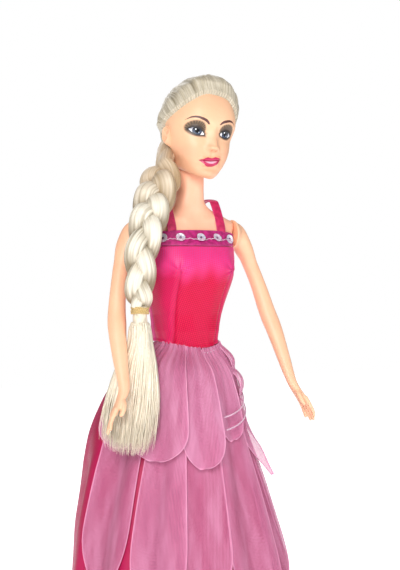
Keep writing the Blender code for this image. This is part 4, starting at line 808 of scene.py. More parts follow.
def flush_shoulder(grid):
    """Rounds the skin's sides down to the size of the shoulder caps, so that they meet flush."""
    x, z = np.abs(grid[..., 0]), grid[..., 2]
    t = ease(14.5, 20.0, x) * ease(217.0, 222.0, z)
    far = np.hypot(grid[..., 1], z - SHOULDER)
    shrink = 1 - t + t * np.minimum(1.0, 6.1 / np.maximum(far, 1e-6))
    grid[..., 0] += np.sign(grid[..., 0]) * 0.42 * ease(17.0, 20.2, x) * ease(215.0, 220.0, z)
    grid[..., 1] *= shrink
    grid[..., 2] = SHOULDER + (z - SHOULDER) * shrink


def build_torso():
    """Skin shells of neck, chest and waist, with collar bones and a hollow at the throat."""
    heights = np.linspace(167.0, NECK_TOP + 4.2, 116)[:, None]
    for name, middle in (("torso_front", 0.0), ("torso_back", 180.0)):
        reach = 90.0 + SEAM_LAP
        grid = torso_points(heights, np.linspace(middle - reach, middle + reach, 72)[None, :])
        if middle == 0.0:
            x, z = grid[..., 0].copy(), grid[..., 2]
            for side, _ in SIDES:
                along = ease(2.5, 5.0, side * x) * (1 - ease(13.0, 16.0, side * x))
                grid[..., 1] -= 0.35 * along * bell(z, 233.6 + 0.10 * side * x, 1.3)
            grid[..., 1] += 0.45 * bump(x, z, 0.6, 234.5, 1.6, 2.2)
        flush_shoulder(grid)
        attach(cloth(name + "_skin", grid, chest, 1.6, outside=False), "torso", "body_plastic", name)


def build_plug():
    """The plug in the neck: stem, flange, groove and rounded head."""
    z, r = np.array(PLUG_ROWS).T
    rings = tube_points(xyz(NECK_LEAN, 0, z), X, Y, r, r, 36)
    attach(closed("neck_plug", rings, chest), "torso", "body_plastic", "neck_knob")


def even_out(obj, rounds, melt, swell, where=None):
    """Takes the small steps out of a closed mesh; a swell after each melt keeps its size."""
    mesh = obj.data
    count = len(mesh.vertices)
    flat = np.empty(count * 3)
    mesh.vertices.foreach_get("co", flat)
    points = flat.reshape(-1, 3)
    ends = np.empty(len(mesh.edges) * 2, dtype=int)
    mesh.edges.foreach_get("vertices", ends)
    first, second = ends[0::2], ends[1::2]
    number = np.bincount(ends, minlength=count)[:, None]
    share = 1.0 if where is None else where(points / MM)[:, None]
    for step in (melt, swell) * rounds:
        mean = np.stack([np.bincount(first, points[second, k], count)
                         + np.bincount(second, points[first, k], count) for k in range(3)], -1) / number
        points = points + step * share * (mean - points)
    mesh.vertices.foreach_set("co", points.ravel())
    mesh.update()


def apply_modifier(obj, kind, **settings):
    made = obj.modifiers.new(kind, kind)
    for key, value in settings.items():
        setattr(made, key, value)
    bpy.ops.object.modifier_apply(modifier=made.name)


def fuse(name, parts, material):
    """Several closed solids welded into one skin."""
    bpy.ops.object.select_all(action="DESELECT")
    for part in parts:
        part.select_set(True)
    bpy.context.view_layer.objects.active = parts[0]
    bpy.ops.object.join()
    obj = bpy.context.view_layer.objects.active
    obj.name = name
    apply_modifier(obj, "REMESH", mode="VOXEL", voxel_size=0.30 * MM)
    apply_modifier(obj, "SMOOTH", factor=0.6, iterations=3)
    even_out(obj, 30, 0.60, -0.63)
    obj.data.materials.clear()
    obj.data.materials.append(material)
    obj.data.shade_smooth()
    return obj


def finger(points, radii, side_way):
    """A tapered finger through four points, a little wider than deep."""
    at = np.linspace(0, 1, 15)
    line = evenly(points, at)
    size = evenly([(r,) for r in radii], at)[:, 0]
    size[-1] *= 0.45
    across, up = frames(line, np.broadcast_to(side_way, line.shape))
    return closed("finger", tube_points(line, across, up, size, size * 0.94, 12), skin)


def arm_line(at, side):
    """Middle points of the arm at shares of its drop, and its rows' values there."""
    values = hermite(ARM_ROWS, at)
    outward, forward = values[..., 0], values[..., 1]
    centre = xyz(side * (ARM_FACE + outward * ARM_DROP), -forward * ARM_DROP, SHOULDER - at * ARM_DROP)
    return centre, values


def build_arm(side, word):
    """Shoulder, arm, palm, four fingers and thumb, turning with the shoulder joint."""
    at = np.concatenate([np.linspace(-0.062, 0.10, 16), np.linspace(0.12, 0.90, 60)])
    centre, values = arm_line(at, side)
    turn = np.radians(ARM_TURN * np.clip(at * 4, 0, 1) - HAND_TURN * ease(0.45, 0.84, at))
    across = xyz(side * np.sin(turn), np.cos(turn), 0)
    level = xyz(side * np.cos(turn), -np.sin(turn), 0)
    palm = ease(0.79, 0.85, at)
    upper = bell(at, 0.04, 0.085)
    breadth = (values[:, 2] + 0.22 * upper) * CAP_RADIUS * (1 - 0.10 * palm)
    thick = (values[:, 3] * (1 + 0.17 * (1 - palm)) + 0.20 * upper) * CAP_RADIUS
    rings = tube_points(centre, across, level, breadth, thick, 32)
    rings[..., 0] = side * np.maximum(side * rings[..., 0], ARM_FACE + GAP)
    share = np.linspace(0, 1, 14)
    radius, out = evenly(CAP_ROWS, share).T * CAP_RADIUS
    radius = radius + 0.10 * (1 - ease(0.0, 0.3, share)) * CAP_RADIUS
    cap = tube_points(xyz(side * (ARM_FACE + out), 0, SHOULDER), Y, Z, radius, radius, 40)
    parts = [closed("arm", rings, skin), closed("cap", cap, skin)]
    knuckle, tip, heel = (arm_line(place, side)[0] for place in (0.885, 1.0, 0.825))
    down = unit(tip - knuckle)
    wide, thin = across[-1], level[-1]
    for k, (reach, curl) in enumerate(FINGERS):
        off, inward = wide * (1.5 - k) * FINGER_PITCH, -thin * curl
        points = (knuckle + off * 0.92 - down * 2.2, knuckle + off + down * reach * 0.30,
                  knuckle + off * 1.10 + down * reach * 0.66 + inward * 0.5,
                  knuckle + off * 1.02 + down * reach + inward * 1.7)
        parts.append(finger(points, FINGER_RADII, wide))
    points = [heel - Y * forward - side * X * inside + down * low for forward, inside, low in THUMB]
    parts.append(finger(points, THUMB_RADII, wide))
    arm = fuse(f"arm_{word}_skin", parts, skin)
    even_out(arm, 70, 0.6, 0.0, lambda p: ease(SHOULDER - 15.0, SHOULDER - 11.0, p[:, 2])
             * ease(ARM_FACE + 0.6, ARM_FACE + 1.6, np.abs(p[:, 0])))
    attach(arm, f"arm_{word}", "body_plastic", f"arm_{word}")


def build_leg(side, word):
    """Leg with knee, calf and ankle, down to an arched foot."""
    sides = 40
    at = np.linspace(-1.0, 0.075, 30)
    up, tilt, thick, width = hermite([(-row[0], *row[1:]) for row in FOOT_ROWS], -at).T
    turn = np.radians(tilt)
    foot = tube_points(xyz(side * 0.80 * LEG_SPACING, at * HEEL, up * HEEL), X,
                       xyz(0, np.cos(turn), -np.sin(turn)), width * FOOT_HALF_WIDTH, thick * HEEL, sides)
    at = np.linspace(0.187, 1.0, 90)
    sideways, width, back, depth = hermite(LEG_ROWS, at).T
    leg = tube_points(xyz(side * sideways * LEG_SPACING, back * LEG_HEAD, at * HIP), X, Y,
                      width * THIGH_HALF_WIDTH, depth * LEG_HEAD, sides)
    front = np.maximum(0, -np.sin(np.linspace(0, 2 * np.pi, sides, endpoint=False))) ** 3
    leg[..., 1] -= 0.35 * bell(at, 0.525, 0.022)[:, None] * front
    rise = np.radians(np.linspace(4, 78, 12))
    narrow = THIGH_HALF_WIDTH * (1 - 0.25 * (rise / np.radians(78)) ** 3)
    top = tube_points(xyz(side * LEG_SPACING, 0, HIP + LEG_HEAD * np.sin(rise)), X, Y,
                      narrow, LEG_HEAD * np.cos(rise), sides)
    made = closed(f"leg_{word}_skin", np.concatenate([foot, leg, top]), skin)
    attach(made, f"leg_{word}", "body_plastic", f"leg_{word}")


build_torso()
build_plug()
for side, word in SIDES:
    build_arm(side, word)
    build_leg(side, word)
for name, stuff in (("hip_block", chest), ("hip_pin", steel.material), ("shoe_left", shoe.material),
                    ("shoe_right", shoe.material), ("back_closure_strip", hook.material)):
    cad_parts[name].data.materials.clear()
    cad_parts[name].data.materials.append(stuff)

# Head
about_x, about_y, about_z = (Matrix.Rotation(math.radians(turn), 4, axis)
                             for turn, axis in zip(HEAD_TILT, "XYZ"))
head_matrix = np.array(Matrix.Translation((NECK_LEAN, 0, NECK_PIVOT)) @ (about_y @ about_x) @ about_z)


def to_doll(points):
    """From the head's own frame to the doll's."""
    return points @ head_matrix[:3, :3].T + head_matrix[:3, 3]


def skull_way(polar, angle):
    """Unit vectors from the skull's middle, at degrees from its top and from its front."""
    p = np.radians(polar)
    wx, wy = ways(angle)
    return xyz(wx * np.sin(p), wy * np.sin(p), np.cos(p))


def skull_radius(way):
    polar = np.degrees(np.arccos(np.clip(way[..., 2], -1, 1)))
    level = np.maximum(np.hypot(way[..., 0], way[..., 1]), 1e-9)
    sine, cosine = way[..., 0] / level, -way[..., 1] / level
    front, side, back = np.moveaxis(hermite(HEAD_ROWS, polar), -1, 0)
    fore = np.where(cosine > 0, front, back)
    around = np.abs(cosine / fore) ** SKULL_SQUARE + np.abs(sine / side) ** SKULL_SQUARE
    plain = CROWN / around ** (1 / SKULL_SQUARE)

    def zone(low_in, high_in, low_out, high_out):
        return ease(low_in, high_in, polar) * (1 - ease(low_out, high_out, polar))

    slim = 0.085 * zone(84, 98, 128, 150) * ease(0.15, -0.35, cosine)
    jaw = 0.060 * zone(108, 136, 146, 166) * ease(0.0, 0.8, np.abs(sine)) * ease(-0.3, 0.3, cosine)
    chin = 0.045 * zone(126, 144, 154, 168) * ease(0.45, 1.0, cosine)
    temple = 0.065 * bell(polar, 94.0, 16.0) * ease(0.2, 0.8, sine) * ease(-0.5, 0.2, cosine)
    return plain * (1 - slim + jaw - chin - temple)


def face_place(x, z):
    """Coordinates of the face itself, whose middle line leans against the skull's."""
    c, s = math.cos(FACE_ROLL), math.sin(FACE_ROLL)
    return (x - 0.15) * c + (z - 3.0) * s, (z - 3.0) * c - (x - 0.15) * s + 3.0


def mouth_height(fx, fz):
    """Height on the face as the mouth sees it, which smiles up towards the doll's left."""
    return fz - 0.17 * fx


def face_rise(x, z):
    """How far the face stands out in front of the plain skull."""
    fx, fz = face_place(x, z)
    side, mz = np.abs(fx), mouth_height(fx, fz)
    ridge = 1.35 + 0.75 * ease(12.5, 18.0, fz) + 0.30 * bell(fz, 10.2, 1.5)
    rise = hermite(BROAD, fz)[..., 0] * np.exp(-((fx / 9.5) ** 2) / 2)
    rise = rise + hermite(NOSE, fz)[..., 0] * np.exp(-((fx / ridge) ** 2) / 2)
    for amount, *spot in FACE_SPOTS:
        rise = rise + amount * bump(side, fz, *spot)
    lid = hermite(LID_TOP, side - EYE_X)[..., 0] + EYE_Z
    near_eye = ease(-4.2, -3.2, side - EYE_X) * (1 - ease(2.6, 3.6, side - EYE_X))
    rise = rise + near_eye * (0.28 * bell(fz, lid + 0.45, 0.42) - 0.22 * bell(fz, lid + 1.45, 0.40))
    bow = 1 - 0.22 * bell(fx, 0.0, 0.7)
    line = hermite(MOUTH_LINE, side)[..., 0]
    rise = rise + 0.95 * (1 - ease(3.4, 5.2, side)) * bell(mz, 6.35, 0.75) * bow
    rise = rise + 1.10 * (1 - ease(2.4, 4.8, side)) * bell(mz, 4.45, 0.95)
    rise = rise - 0.45 * (1 - ease(4.4, 5.6, side)) * bell(mz, line, 0.26)
    return rise - 0.25 * bump(side, mz, 5.3, 6.0, 0.8, 0.8)


def head_points(way, lift=0.0):
    """Points of the head, or of what lies on it, in the head's own frame."""
    way = unit(way)
    points = way * (skull_radius(way) + lift)[..., None]
    points[..., 2] += SKULL_UP
    points[..., 1] -= face_rise(points[..., 0], points[..., 2]) * ease(0.02, 0.40, -way[..., 1])
    return points


def build_head():
    """The face and skull as one fine skin with its make-up, and an ear on each side."""
    t = np.linspace(-1, 1, 340, endpoint=False)
    angles = 180 * (0.52 * t + 0.48 * t ** 3)
    polars = np.concatenate([np.linspace(0.4, 60, 60), np.linspace(60.4, 158.0, 232)])
    rolled = [head_points(skull_way(np.full((1, 1), polar), angles[None, :]), np.full((1, 1), -deep))
              for polar, deep in NECK_HOLE]
    grid = np.concatenate([head_points(skull_way(polars[:, None], angles[None, :])), *rolled])
    fx, fz = face_place(grid[..., 0], grid[..., 2])
    side, mz = np.abs(fx), mouth_height(fx, fz)
    left = ease(-2.0, 2.0, fx)
    ex, ez = side - EYE_X + 0.5 * left, fz - EYE_Z - 0.45 * left
    slant = ez + 0.09 * np.sign(fx) * ex
    brow_height, brow_half = np.moveaxis(hermite(BROW, ex), -1, 0)
    top, low = hermite(LID_TOP, ex)[..., 0], hermite(LID_LOW, ex)[..., 0]
    lip_top, lip_low, line = (hermite(rows, side)[..., 0] for rows in (LIP_TOP, LIP_LOW, MOUTH_LINE))
    fields = {
        "face_x": fx, "face_z": fz, "eye_x": ex, "eye_z": ez,
        "face_front": ease(1.0, 4.0, -grid[..., 1]) * ease(-6.0, -4.0, fz + 1),
        "lid": np.maximum(np.maximum(slant - top, low - slant) * 0.85, np.maximum(-2.7 - ex, ex - 3.1)),
        "brow": np.maximum(np.abs(ez - brow_height) * 0.86 - brow_half, np.maximum(-4.1 - ex, ex - 4.4)),
        "lip": np.maximum(np.maximum(mz - lip_top, lip_low - mz) * 0.9, side - 5.1),
        "mouth_line": np.abs(mz - line) + 0.3 * np.maximum(0, side - 4.6),
        # the oval that places the painted highlight on the lower lip
        "lip_highlight": np.hypot(side / 2.9, (mz - 5.05 - 0.04 * side**2) / 0.62),
    }
    faces = grid_quads(len(grid), len(t), True)[:, ::-1]
    head = make("head_skin", to_doll(grid), faces, face, fields, [tuple(range(len(t)))])
    outward_open(head)
    attach(head, "head", "face_vinyl", "head_shell")
    for way, word in SIDES:
        build_ear(way, word)


def build_ear(side, word):
    """An ear: a rolled rim round a shallow bowl, with a lobe."""
    rows, columns = 30, 56
    r = np.linspace(0.02, 1.25, rows)[:, None]
    a = np.linspace(0, 2 * np.pi, columns, endpoint=False)[None, :]
    up = np.sin(a) * r * 4.0
    back = np.cos(a) * r * 2.15 * (1 + 0.14 * np.sin(a)) + 0.06 * up
    rim = 0.75 * bell(r, 0.80, 0.12) * (0.35 + 0.65 * ease(-0.9, 0.2, np.cos(a + 0.5)))
    fold = 0.42 * bell(r, 0.50, 0.10) * ease(-0.1, 0.7, np.cos(a - 0.4))
    bowl = 0.55 * bell(back, -0.3, 0.8) * bell(up, -0.3, 1.1)
    tragus = 0.5 * bell(back, -1.5, 0.5) * bell(up, -0.5, 0.7)
    flap = 0.28 * back * ease(-1.5, 1.5, back)
    out = 0.55 + flap + rim + fold - bowl + tragus - 2.6 * ease(0.92, 1.25, r)
    root = head_points(skull_way(np.array([94.0]), np.array([side * 91.0])))[0]
    c, s = math.cos(math.radians(12.0)), math.sin(math.radians(12.0))
    grid = root + xyz(side * out, back * c + up * s * 0.6, up * c - back * s * 0.2 - 2.8)
    blank = dict.fromkeys(("eye_x", "eye_z", "lid", "brow", "lip", "mouth_line", "lip_highlight"), 9.0)
    fields = fields_on(out.shape, face_x=20.0, face_z=0.0, face_front=0.0, **blank)
    faces = grid_quads(rows, columns, True)
    ear = make(f"ear_{word}", to_doll(grid), faces, face, fields, [tuple(range(columns))])
    outward_open(ear)
    attach(ear, "head", "face_vinyl")


# Hair
GATHER = skull_way(112.0, -160.0)
CROWN_BACK = skull_way(50.0, -176.0)
FACING = np.array([*ways(VIEW_TURN), 0.0])
TAIL_ACROSS = unit(np.cross(FACING, Z))


def hair_fields(shape, u, v, low=0.0, gold=0.0):
    return fields_on(shape, hair_u=u, hair_v=v, hair_low=low, hair_gold=gold)


def build_hair_cap():
    """Hair rooted in plugs along the hairline and combed back to a gather behind the right ear."""
    count = HAIRS_ROUND
    fine = np.linspace(-180, 180, 4001)
    along = distances(head_points(skull_way(hermite(HAIRLINE, np.abs(fine))[:, 0], fine)))
    at = np.arange(count) / count * along[-1]
    angle = np.interp(at, along, fine)
    start = skull_way(hermite(HAIRLINE, np.abs(angle))[:, 0], angle)
    s = np.linspace(0, 1, 110) ** 1.35
    sides = ease(128.0, 92.0, np.abs(angle))[:, None]
    bend = unit((start + GATHER) * (1 - sides) + CROWN_BACK * sides)
    way = unit(bezier(start[None], bend[None], GATHER, s[:, None, None]))
    plug = 0.5 + 0.5 * np.cos(2 * np.pi * at / HAIR_PLUG + smooth_noise(count, 24, 1.2))
    polar = np.degrees(np.arccos(way[..., 2]))
    full = (1 - 0.55 * ease(76.0, 104.0, polar)) * (1 + 0.62 * way[..., 0])
    rough = between(np.stack([smooth_noise(count, 17, 1.0) for _ in range(6)]), s)
    threads = between(np.stack([smooth_noise(count, 3.2, 1.0) for _ in range(6)]), s)
    s = s[:, None]
    near = 1 - ease(0.0, 0.055, s)
    grow = ease(0.0, 0.10, s)
    lift = (0.1 + 1.45 * ease(0.0, 0.03, s) + 2.6 * ease(0.01, 0.18, s) * full
            - 0.55 * near * (1 - plug) ** 2 + grow * (0.40 * rough + 0.12 * threads)
            - 1.2 * ease(0.93, 1.0, s))
    # painted shade in the grooves between clumps and in the gaps between the hairline's plugs
    low = (np.clip(-0.55 * rough - 0.35 * threads, 0, 1) * grow
           + 0.5 * near * (1 - plug) * ease(0.0, 0.02, s))
    grid = head_points(way, lift)
    fields = hair_fields(lift.shape, at, s * 40, low)
    cap = make("hair_cap_combed", to_doll(grid), grid_quads(len(s), count, True), hair, fields)
    outward_open(cap)
    attach(cap, "head", "hair_fibre", "hair_cap")


def shoulder_place(right, forward, up):
    """A point by shares of the half shoulder width and, upward, of the braid's drop."""
    return xyz(-right * SHOULDER_HALF_WIDTH, -forward * SHOULDER_HALF_WIDTH, SHOULDER + up * BRAID_DROP)


def braid_line(share):
    right, forward, up, facing = np.moveaxis(evenly(BRAID_ROWS, share), -1, 0)
    return shoulder_place(right, forward, up), xyz(*ways(-facing), 0)


def hair_tube(name, line, face_way, half_across, half_up, sides, material, ridge, gold=0.0, dive_shade=None):
    """A lock of hair: a tube with fine grooves along it that wander a little."""
    across, up = frames(line, face_way)
    knots = np.stack([smooth_noise(sides, 2.2, 1.0) + 0.8 * smooth_noise(sides, 6.0, 1.0) for _ in range(9)])
    groove = between(knots, np.linspace(0, 1, len(line)))
    grow = 1 + ridge * groove
    rings = tube_points(line, across, up, half_across[:, None] * grow, half_up[:, None] * grow, sides)
    # painted shade at the lock's two flat edges, where it dives under its neighbours, and in its deeper
    # grooves
    edge_shade = 0.42 * np.abs(np.cos(np.arange(sides) * 2 * np.pi / sides)) ** 5
    low = np.clip(-0.4 * groove + (0.0 if dive_shade is None else dive_shade[:, None] + edge_shade), 0, 1)
    u = np.arange(sides) * 0.45 + rng.uniform(0, 50)
    gold = np.broadcast_to(gold, len(line))[:, None]
    return closed(name, rings, material, hair_fields(groove.shape, u, distances(line)[:, None], low, gold))


def hang_hair(obj, node):
    """Hair that hangs from the head and lies on the torso: its place is baked into its points, and it is
    attached to no body.
    """
    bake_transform(obj)
    dress(obj, "hair_fibre", node)


def build_braid():
    """Three fat locks woven over and under each other, from the nape down over the shoulder."""
    nape = to_doll(head_points(GATHER[None, :], np.array([0.6])))[0]
    length = distances(braid_line(np.linspace(0, 1, 41))[0])[-1]
    share = np.linspace(0, 1, 150)
    centre, face_way = braid_line(share)
    ahead = unit(braid_line(np.minimum(share + 0.01, 1))[0] - braid_line(np.maximum(share - 0.01, 0))[0])
    across = unit(np.cross(ahead, face_way))
    up = unit(np.cross(across, ahead))
    size = (5.0 - 2.0 * share) * np.minimum(1.0, 0.72 + 2.5 * share) * (1 - 0.28 * ease(0.88, 1.0, share))
    lead = 16
    t = np.linspace(0, 1, lead, endpoint=False)[:, None]
    for k in range(3):
        phase = 2 * np.pi * (share * length / BRAID_PITCH + k / 3)
        sideways, outward_by = 0.84 * size * np.sin(phase), 0.70 * size * np.sin(2 * phase)
        line = centre + across * sideways[:, None] + up * outward_by[:, None]
        fat = size * (1 + 0.16 * np.abs(np.sin(phase)))
        under = 0.5 - 0.5 * np.sin(2 * phase)
        root = nape + (line[0] - centre[0]) * 0.45
        bend = (nape + line[0]) / 2 + (-1.2, -1.5, 1.0)
        path = np.concatenate([bezier(root, bend, line[0], t), line])
        facing = np.concatenate([np.repeat(up[:1], lead, 0), up])
        wide, deep = (np.concatenate([np.linspace(2.2, by * fat[0], lead), by * fat]) for by in (0.86, 0.56))
        # golder near the nape, fading down the braid; the small extra gold where the lock runs under the
        # others, and the dive share, are painted shade
        gold = np.concatenate([np.full(lead, 0.55), 0.55 * (1 - ease(0.05, 0.42, share)) + 0.12 * under])
        dive_shade = np.concatenate([np.full(lead, 0.15), 1.10 * under**0.95])
        lock = hair_tube(f"braid_lock_{k + 1}", path, facing, wide, deep, 96, braid_hair, 0.016, gold, dive_shade)
        hang_hair(lock, f"braid_strand_{k + 1}")
    t = np.linspace(0, 1, 26)[:, None]
    bend = (nape + centre[10]) / 2 + (-2.2, -2.5, 2.0)
    line = bezier(nape + (0.5, -0.5, 0.8), bend, centre[10], t)
    wide = np.interp(t[:, 0], [0, 0.35, 1], [6.0, 5.2, 3.0])
    root = hair_tube("braid_gather", line, np.repeat(up[:1], 26, 0), wide, wide * 0.78, 72, braid_hair,
                     0.06, 0.6)
    hang_hair(root, "braid_root")
    return centre[-1], across[-1], up[-1]


def tail_place(drop):
    """Centre, half width and half thickness of the loose hair at shares of its drop."""
    right, forward, wide, thick = hermite(TAIL_ROWS, drop).T
    return shoulder_place(right, forward, -drop), wide * TAIL_HALF_WIDTH, thick * TAIL_HALF_WIDTH


def build_tail():
    """Straight loose hair: a grooved core, and fine locks that fan out and end raggedly."""
    drop = np.linspace(0.60, 1.36, 90)
    centre, wide, thick = tail_place(drop)
    thin = ease(1.05, 1.36, drop)
    wide = wide * (1.0 - 0.14 * ease(0.6, 0.8, drop)) * (1 - 0.45 * thin)
    core = hair_tube("loose_tail_core", centre, np.broadcast_to(FACING, centre.shape), wide,
                     thick * 0.72 * (1 - 0.75 * thin), 180, tail_hair, 0.05)
    attach(core, "torso", "hair_fibre", "braid_tail")
    count, steps, sides = TAIL_FIBRES, 20, 4
    points, us, vs, lows = [], [], [], []
    for _ in range(count):
        a = rng.uniform(0, 2 * np.pi)
        reach = np.sqrt(rng.uniform(0.25, 1.0))
        across, out = reach * np.cos(a), reach * np.sin(a)
        end = 1.22 + 0.22 * rng.uniform() ** 0.8 - 0.08 * max(0.0, across) ** 2
        at = np.linspace(rng.uniform(0.59, 0.70), end, steps)
        middle, half, deep = tail_place(at)
        share = (at - at[0]) / (at[-1] - at[0])
        flare = 1 + 0.10 * rng.uniform(-1, 1) * share**2
        wander = rng.normal(0, 1, 2)[:, None] * share**3 * 0.75
        line = (middle + TAIL_ACROSS * (across * half * flare + wander[0])[:, None]
                + FACING * (out * deep * flare + wander[1])[:, None])
        size = rng.uniform(0.12, 0.30) * (1 - 0.92 * ease(0.55, 1.0, share))
        side, up = frames(line, np.broadcast_to(FACING, line.shape))
        points.append(tube_points(line, side, up, size * 1.6, size * 0.8, sides))
        us.append(rng.uniform(0, 300))
        vs.append(share * 60)
        lows.append(0.12 * rng.uniform() ** 2)
    shape = (count, steps, sides)
    spread = {"hair_u": np.array(us)[:, None, None], "hair_v": np.array(vs)[:, :, None],
              "hair_low": np.array(lows)[:, None, None], "hair_gold": 0.0}
    fields = {key: np.broadcast_to(values, shape) for key, values in spread.items()}
    faces = [grid_quads(steps, sides, True) + i * steps * sides for i in range(count)]
    wisps = make("loose_tail_wisps", points, np.concatenate(faces), tail_hair, fields)
    attach(wisps, "torso", "hair_fibre")


def wound_thread(name, line, radius, sides, material):
    across, up = frames(line, np.broadcast_to([0.13, 0.2, 0.97], line.shape))
    radius = np.full(len(line), radius)
    rings = tube_points(line, across, up, radius, radius, sides)
    round_it = np.arange(sides) * 2 * np.pi / sides
    fields = fields_on(rings.shape, weave_u=round_it, weave_v=distances(line)[:, None])
    return closed(name, rings, material, fields)


def build_tie(centre, across, up):
    """A gold elastic of crossing turns round the braid's bound end."""
    along = tail_place(np.array([0.60]))[0][0] - centre
    turn = np.linspace(0, 2 * np.pi * 5, 360)
    rise = np.linalg.norm(along) / 2 - 1.9 + 1.15 * np.sin(turn * 0.43)
    ripple = 0.10 * np.sin(turn * 17)
    line = (centre + unit(along) * rise[:, None] + across * ((3.15 + ripple) * np.cos(turn))[:, None]
            + up * ((2.95 + ripple) * np.sin(turn))[:, None])
    attach(wound_thread("braid_tie_gold", line, 0.42, 10, gold_thread), "torso", "hair_elastic", "braid_tie")
    t = np.linspace(-0.05, 1.25, 24)
    half = 2.75 + 0.35 * ease(0.6, 1.2, t)
    end = hair_tube("bound_hair", centre + along * t[:, None], np.repeat(up[None], 24, 0), half, half * 0.92,
                    64, tail_hair, 0.03)
    attach(end, "torso", "hair_fibre", "braid_bound_end")


build_head()
build_hair_cap()
build_tie(*build_braid())
build_tail()


# Dress
def bodice_bottom(angle):
    return WAIST - BODICE_DIP * np.maximum(0.0, np.cos(np.radians(angle))) ** 2


def bodice_lift(height, angle):
    """How far the bodice's inside stands off the skin: more at the waist seam and the back's closure."""
    near_waist = np.maximum(0.0, 1.6 - (height - WAIST) / 6.8)
    near_back = np.clip(2.0 - np.abs(180.0 - angle % 360.0) / 14.0, 0, 1)
    return 2 * GAP + 0.85 * np.minimum(1.0, near_waist) + 0.85 * near_back


def dart_x(z, line):
    return np.interp(z, *zip(*line))


def front_relief(x, z):
    """Lift, crease and tone of the bodice's front: two darts, puckers at their tips, a lit bust; the crease
    is painted shade and the tone is painted sheen.
    """
    middle = ease(-1.0, 1.0, x + 10.5) * (1 - ease(-1.0, 1.0, x - dart_x(z, LEFT_DART)))
    bust = 213.5 + 1.2 * np.sin((x + 4.0) * 0.28) + 0.8 * np.sin(x * 0.9)
    # painted sheen: pinker over the side panels and over the lit zone above the bust
    panel = np.maximum(0.20 * (1 - middle), 0.80 * ease(-6.5, 3.5, z - bust))
    top = 1 - ease(210.0, 215.5, z)
    lift, crease = 0 * x, 0 * x
    for side, line in ((-1, RIGHT_DART), (1, LEFT_DART)):
        off = (x - side * dart_x(z, line)) * side
        ridges = 0.30 * bell(off, 1.5, 1.0) + 0.22 * bell(off, -1.4, 0.9) - 0.30 * bell(off, 0.0, 0.42)
        tip = bump(off, z, 0.4, 213.5, 3.8, 3.0)
        rays = np.arctan2(z - 213.0, off - 0.2) * 7.0
        lift = lift + ridges * top + 0.20 * tip * np.sin(rays)
        # painted shade along each dart and in the puckers round its tip
        crease = np.maximum(crease, 0.40 * bell(off, 0.0, 0.45) * top)
        crease = np.maximum(crease, 0.12 * tip * ease(0.2, 0.9, np.sin(rays + 1.5)))
    return lift, crease, panel


def build_bodice():
    """Satin bodice: a front and two backs, with soft ripples, side seams and a turned-in hem."""
    trims = ("neckline_ribbon", "strap_left_ribbon", "strap_right_ribbon", "waist_tape_ribbon")
    for name, low, high, columns, skin_name, others in (
        ("bodice_front", -90.2, 90.2, 190, "torso_front_skin", trims),
        ("bodice_back_left", 90.0, 177.8, 90, "torso_back_skin", ()),
        ("bodice_back_right", 182.2, 270.0, 90, "torso_back_skin", ()),
    ):
        angle = np.linspace(low, high, columns)[None, :]
        share = np.linspace(0, 1, 120)[:, None]
        height = bodice_bottom(angle) + (BODICE_TOP - bodice_bottom(angle)) * share
        x, _, z = np.moveaxis(torso_points(height, angle, bodice_lift(height, angle)), -1, 0)
        lift, crease, panel = 0.0, 0.0, ease(60, 100, np.abs(angle))
        if name == "bodice_front":
            lift, crease, panel = front_relief(x, z)
        a = np.radians(angle)
        beside = bell(np.abs((angle + 180.0) % 360.0 - 180.0), 90.0, 1.6)
        lift = (lift + 0.10 * np.sin(a * 9 + z * 0.15) * ease(0.0, 0.2, share)
                + 0.10 * np.sin(a * 19 + z * 0.25) * (1 - ease(0.0, 0.3, share))
                + 0.16 * np.sin(a * 13 + 1.0) * ease(0.75, 1.0, share)
                + 0.22 * bell(share, 0.012, 0.010) - 0.18 * beside)
        grid = torso_points(height, angle, bodice_lift(height, angle) + np.maximum(lift, -0.5))
        # painted shade along the side seams
        fields = woven(grid, panel=panel, crease=np.maximum(crease, 0.5 * beside), rim=0.0)
        made = shell(name + "_satin", grid, SATIN * 0.9, satin, fields)
        attach(made, "torso", "satin", name)


def band_points(angle, share, lift=0.0):
    height = BODICE_TOP + GAP + BAND_WIDTH * share * (1.0 - 0.18 * (angle / BAND_REACH) ** 2)
    return torso_points(height, angle, GAP + 0.6 + lift)


def build_sequin(number, angle, tilt):
    """A cupped, faceted disc on the band, tilted a little, with the bead that holds it."""
    centre = band_points(angle, 0.5)
    across = unit(band_points(angle + 2, 0.5) - band_points(angle - 2, 0.5))
    up = unit(band_points(angle, 0.6) - band_points(angle, 0.4))
    out = unit(np.cross(across, up) + across * tilt[0] + up * tilt[1])
    across = unit(np.cross(up, out))
    up = np.cross(out, across)
    rows, columns = len(SEQUIN_RINGS), 48
    t = np.linspace(0, 2 * np.pi, columns, endpoint=False)[None, :]
    r, z = (v[:, None] for v in np.array(SEQUIN_RINGS).T)
    facet = 0.05 * np.cos(t * 6) * ease(0.6, 1.6, r)
    ring = (centre + across * (r * np.cos(t))[..., None] + up * (r * np.sin(t))[..., None]
            + out * (z + facet)[..., None])
    first = np.arange(columns)
    last = first + (rows - 1) * columns
    close = np.stack([last, np.roll(last, -1), np.roll(first, -1), first], -1)
    faces = np.concatenate([grid_quads(rows, columns, True), close])
    disc = make(f"sequin_{number}_foil", ring, faces, foil)
    outward(disc)
    attach(disc, "torso", "sequin", f"sequin_{number}")
    t = np.linspace(0, np.pi, 12)
    line = centre + out * (0.62 - 0.42 * np.cos(t))[:, None]
    size = np.maximum(0.52 * np.sin(t), 0.03)
    bead = closed(f"bead_{number}", tube_points(line, across, up, size, size, 20), bead_stuff.material)
    attach(bead, "torso", "sequin")


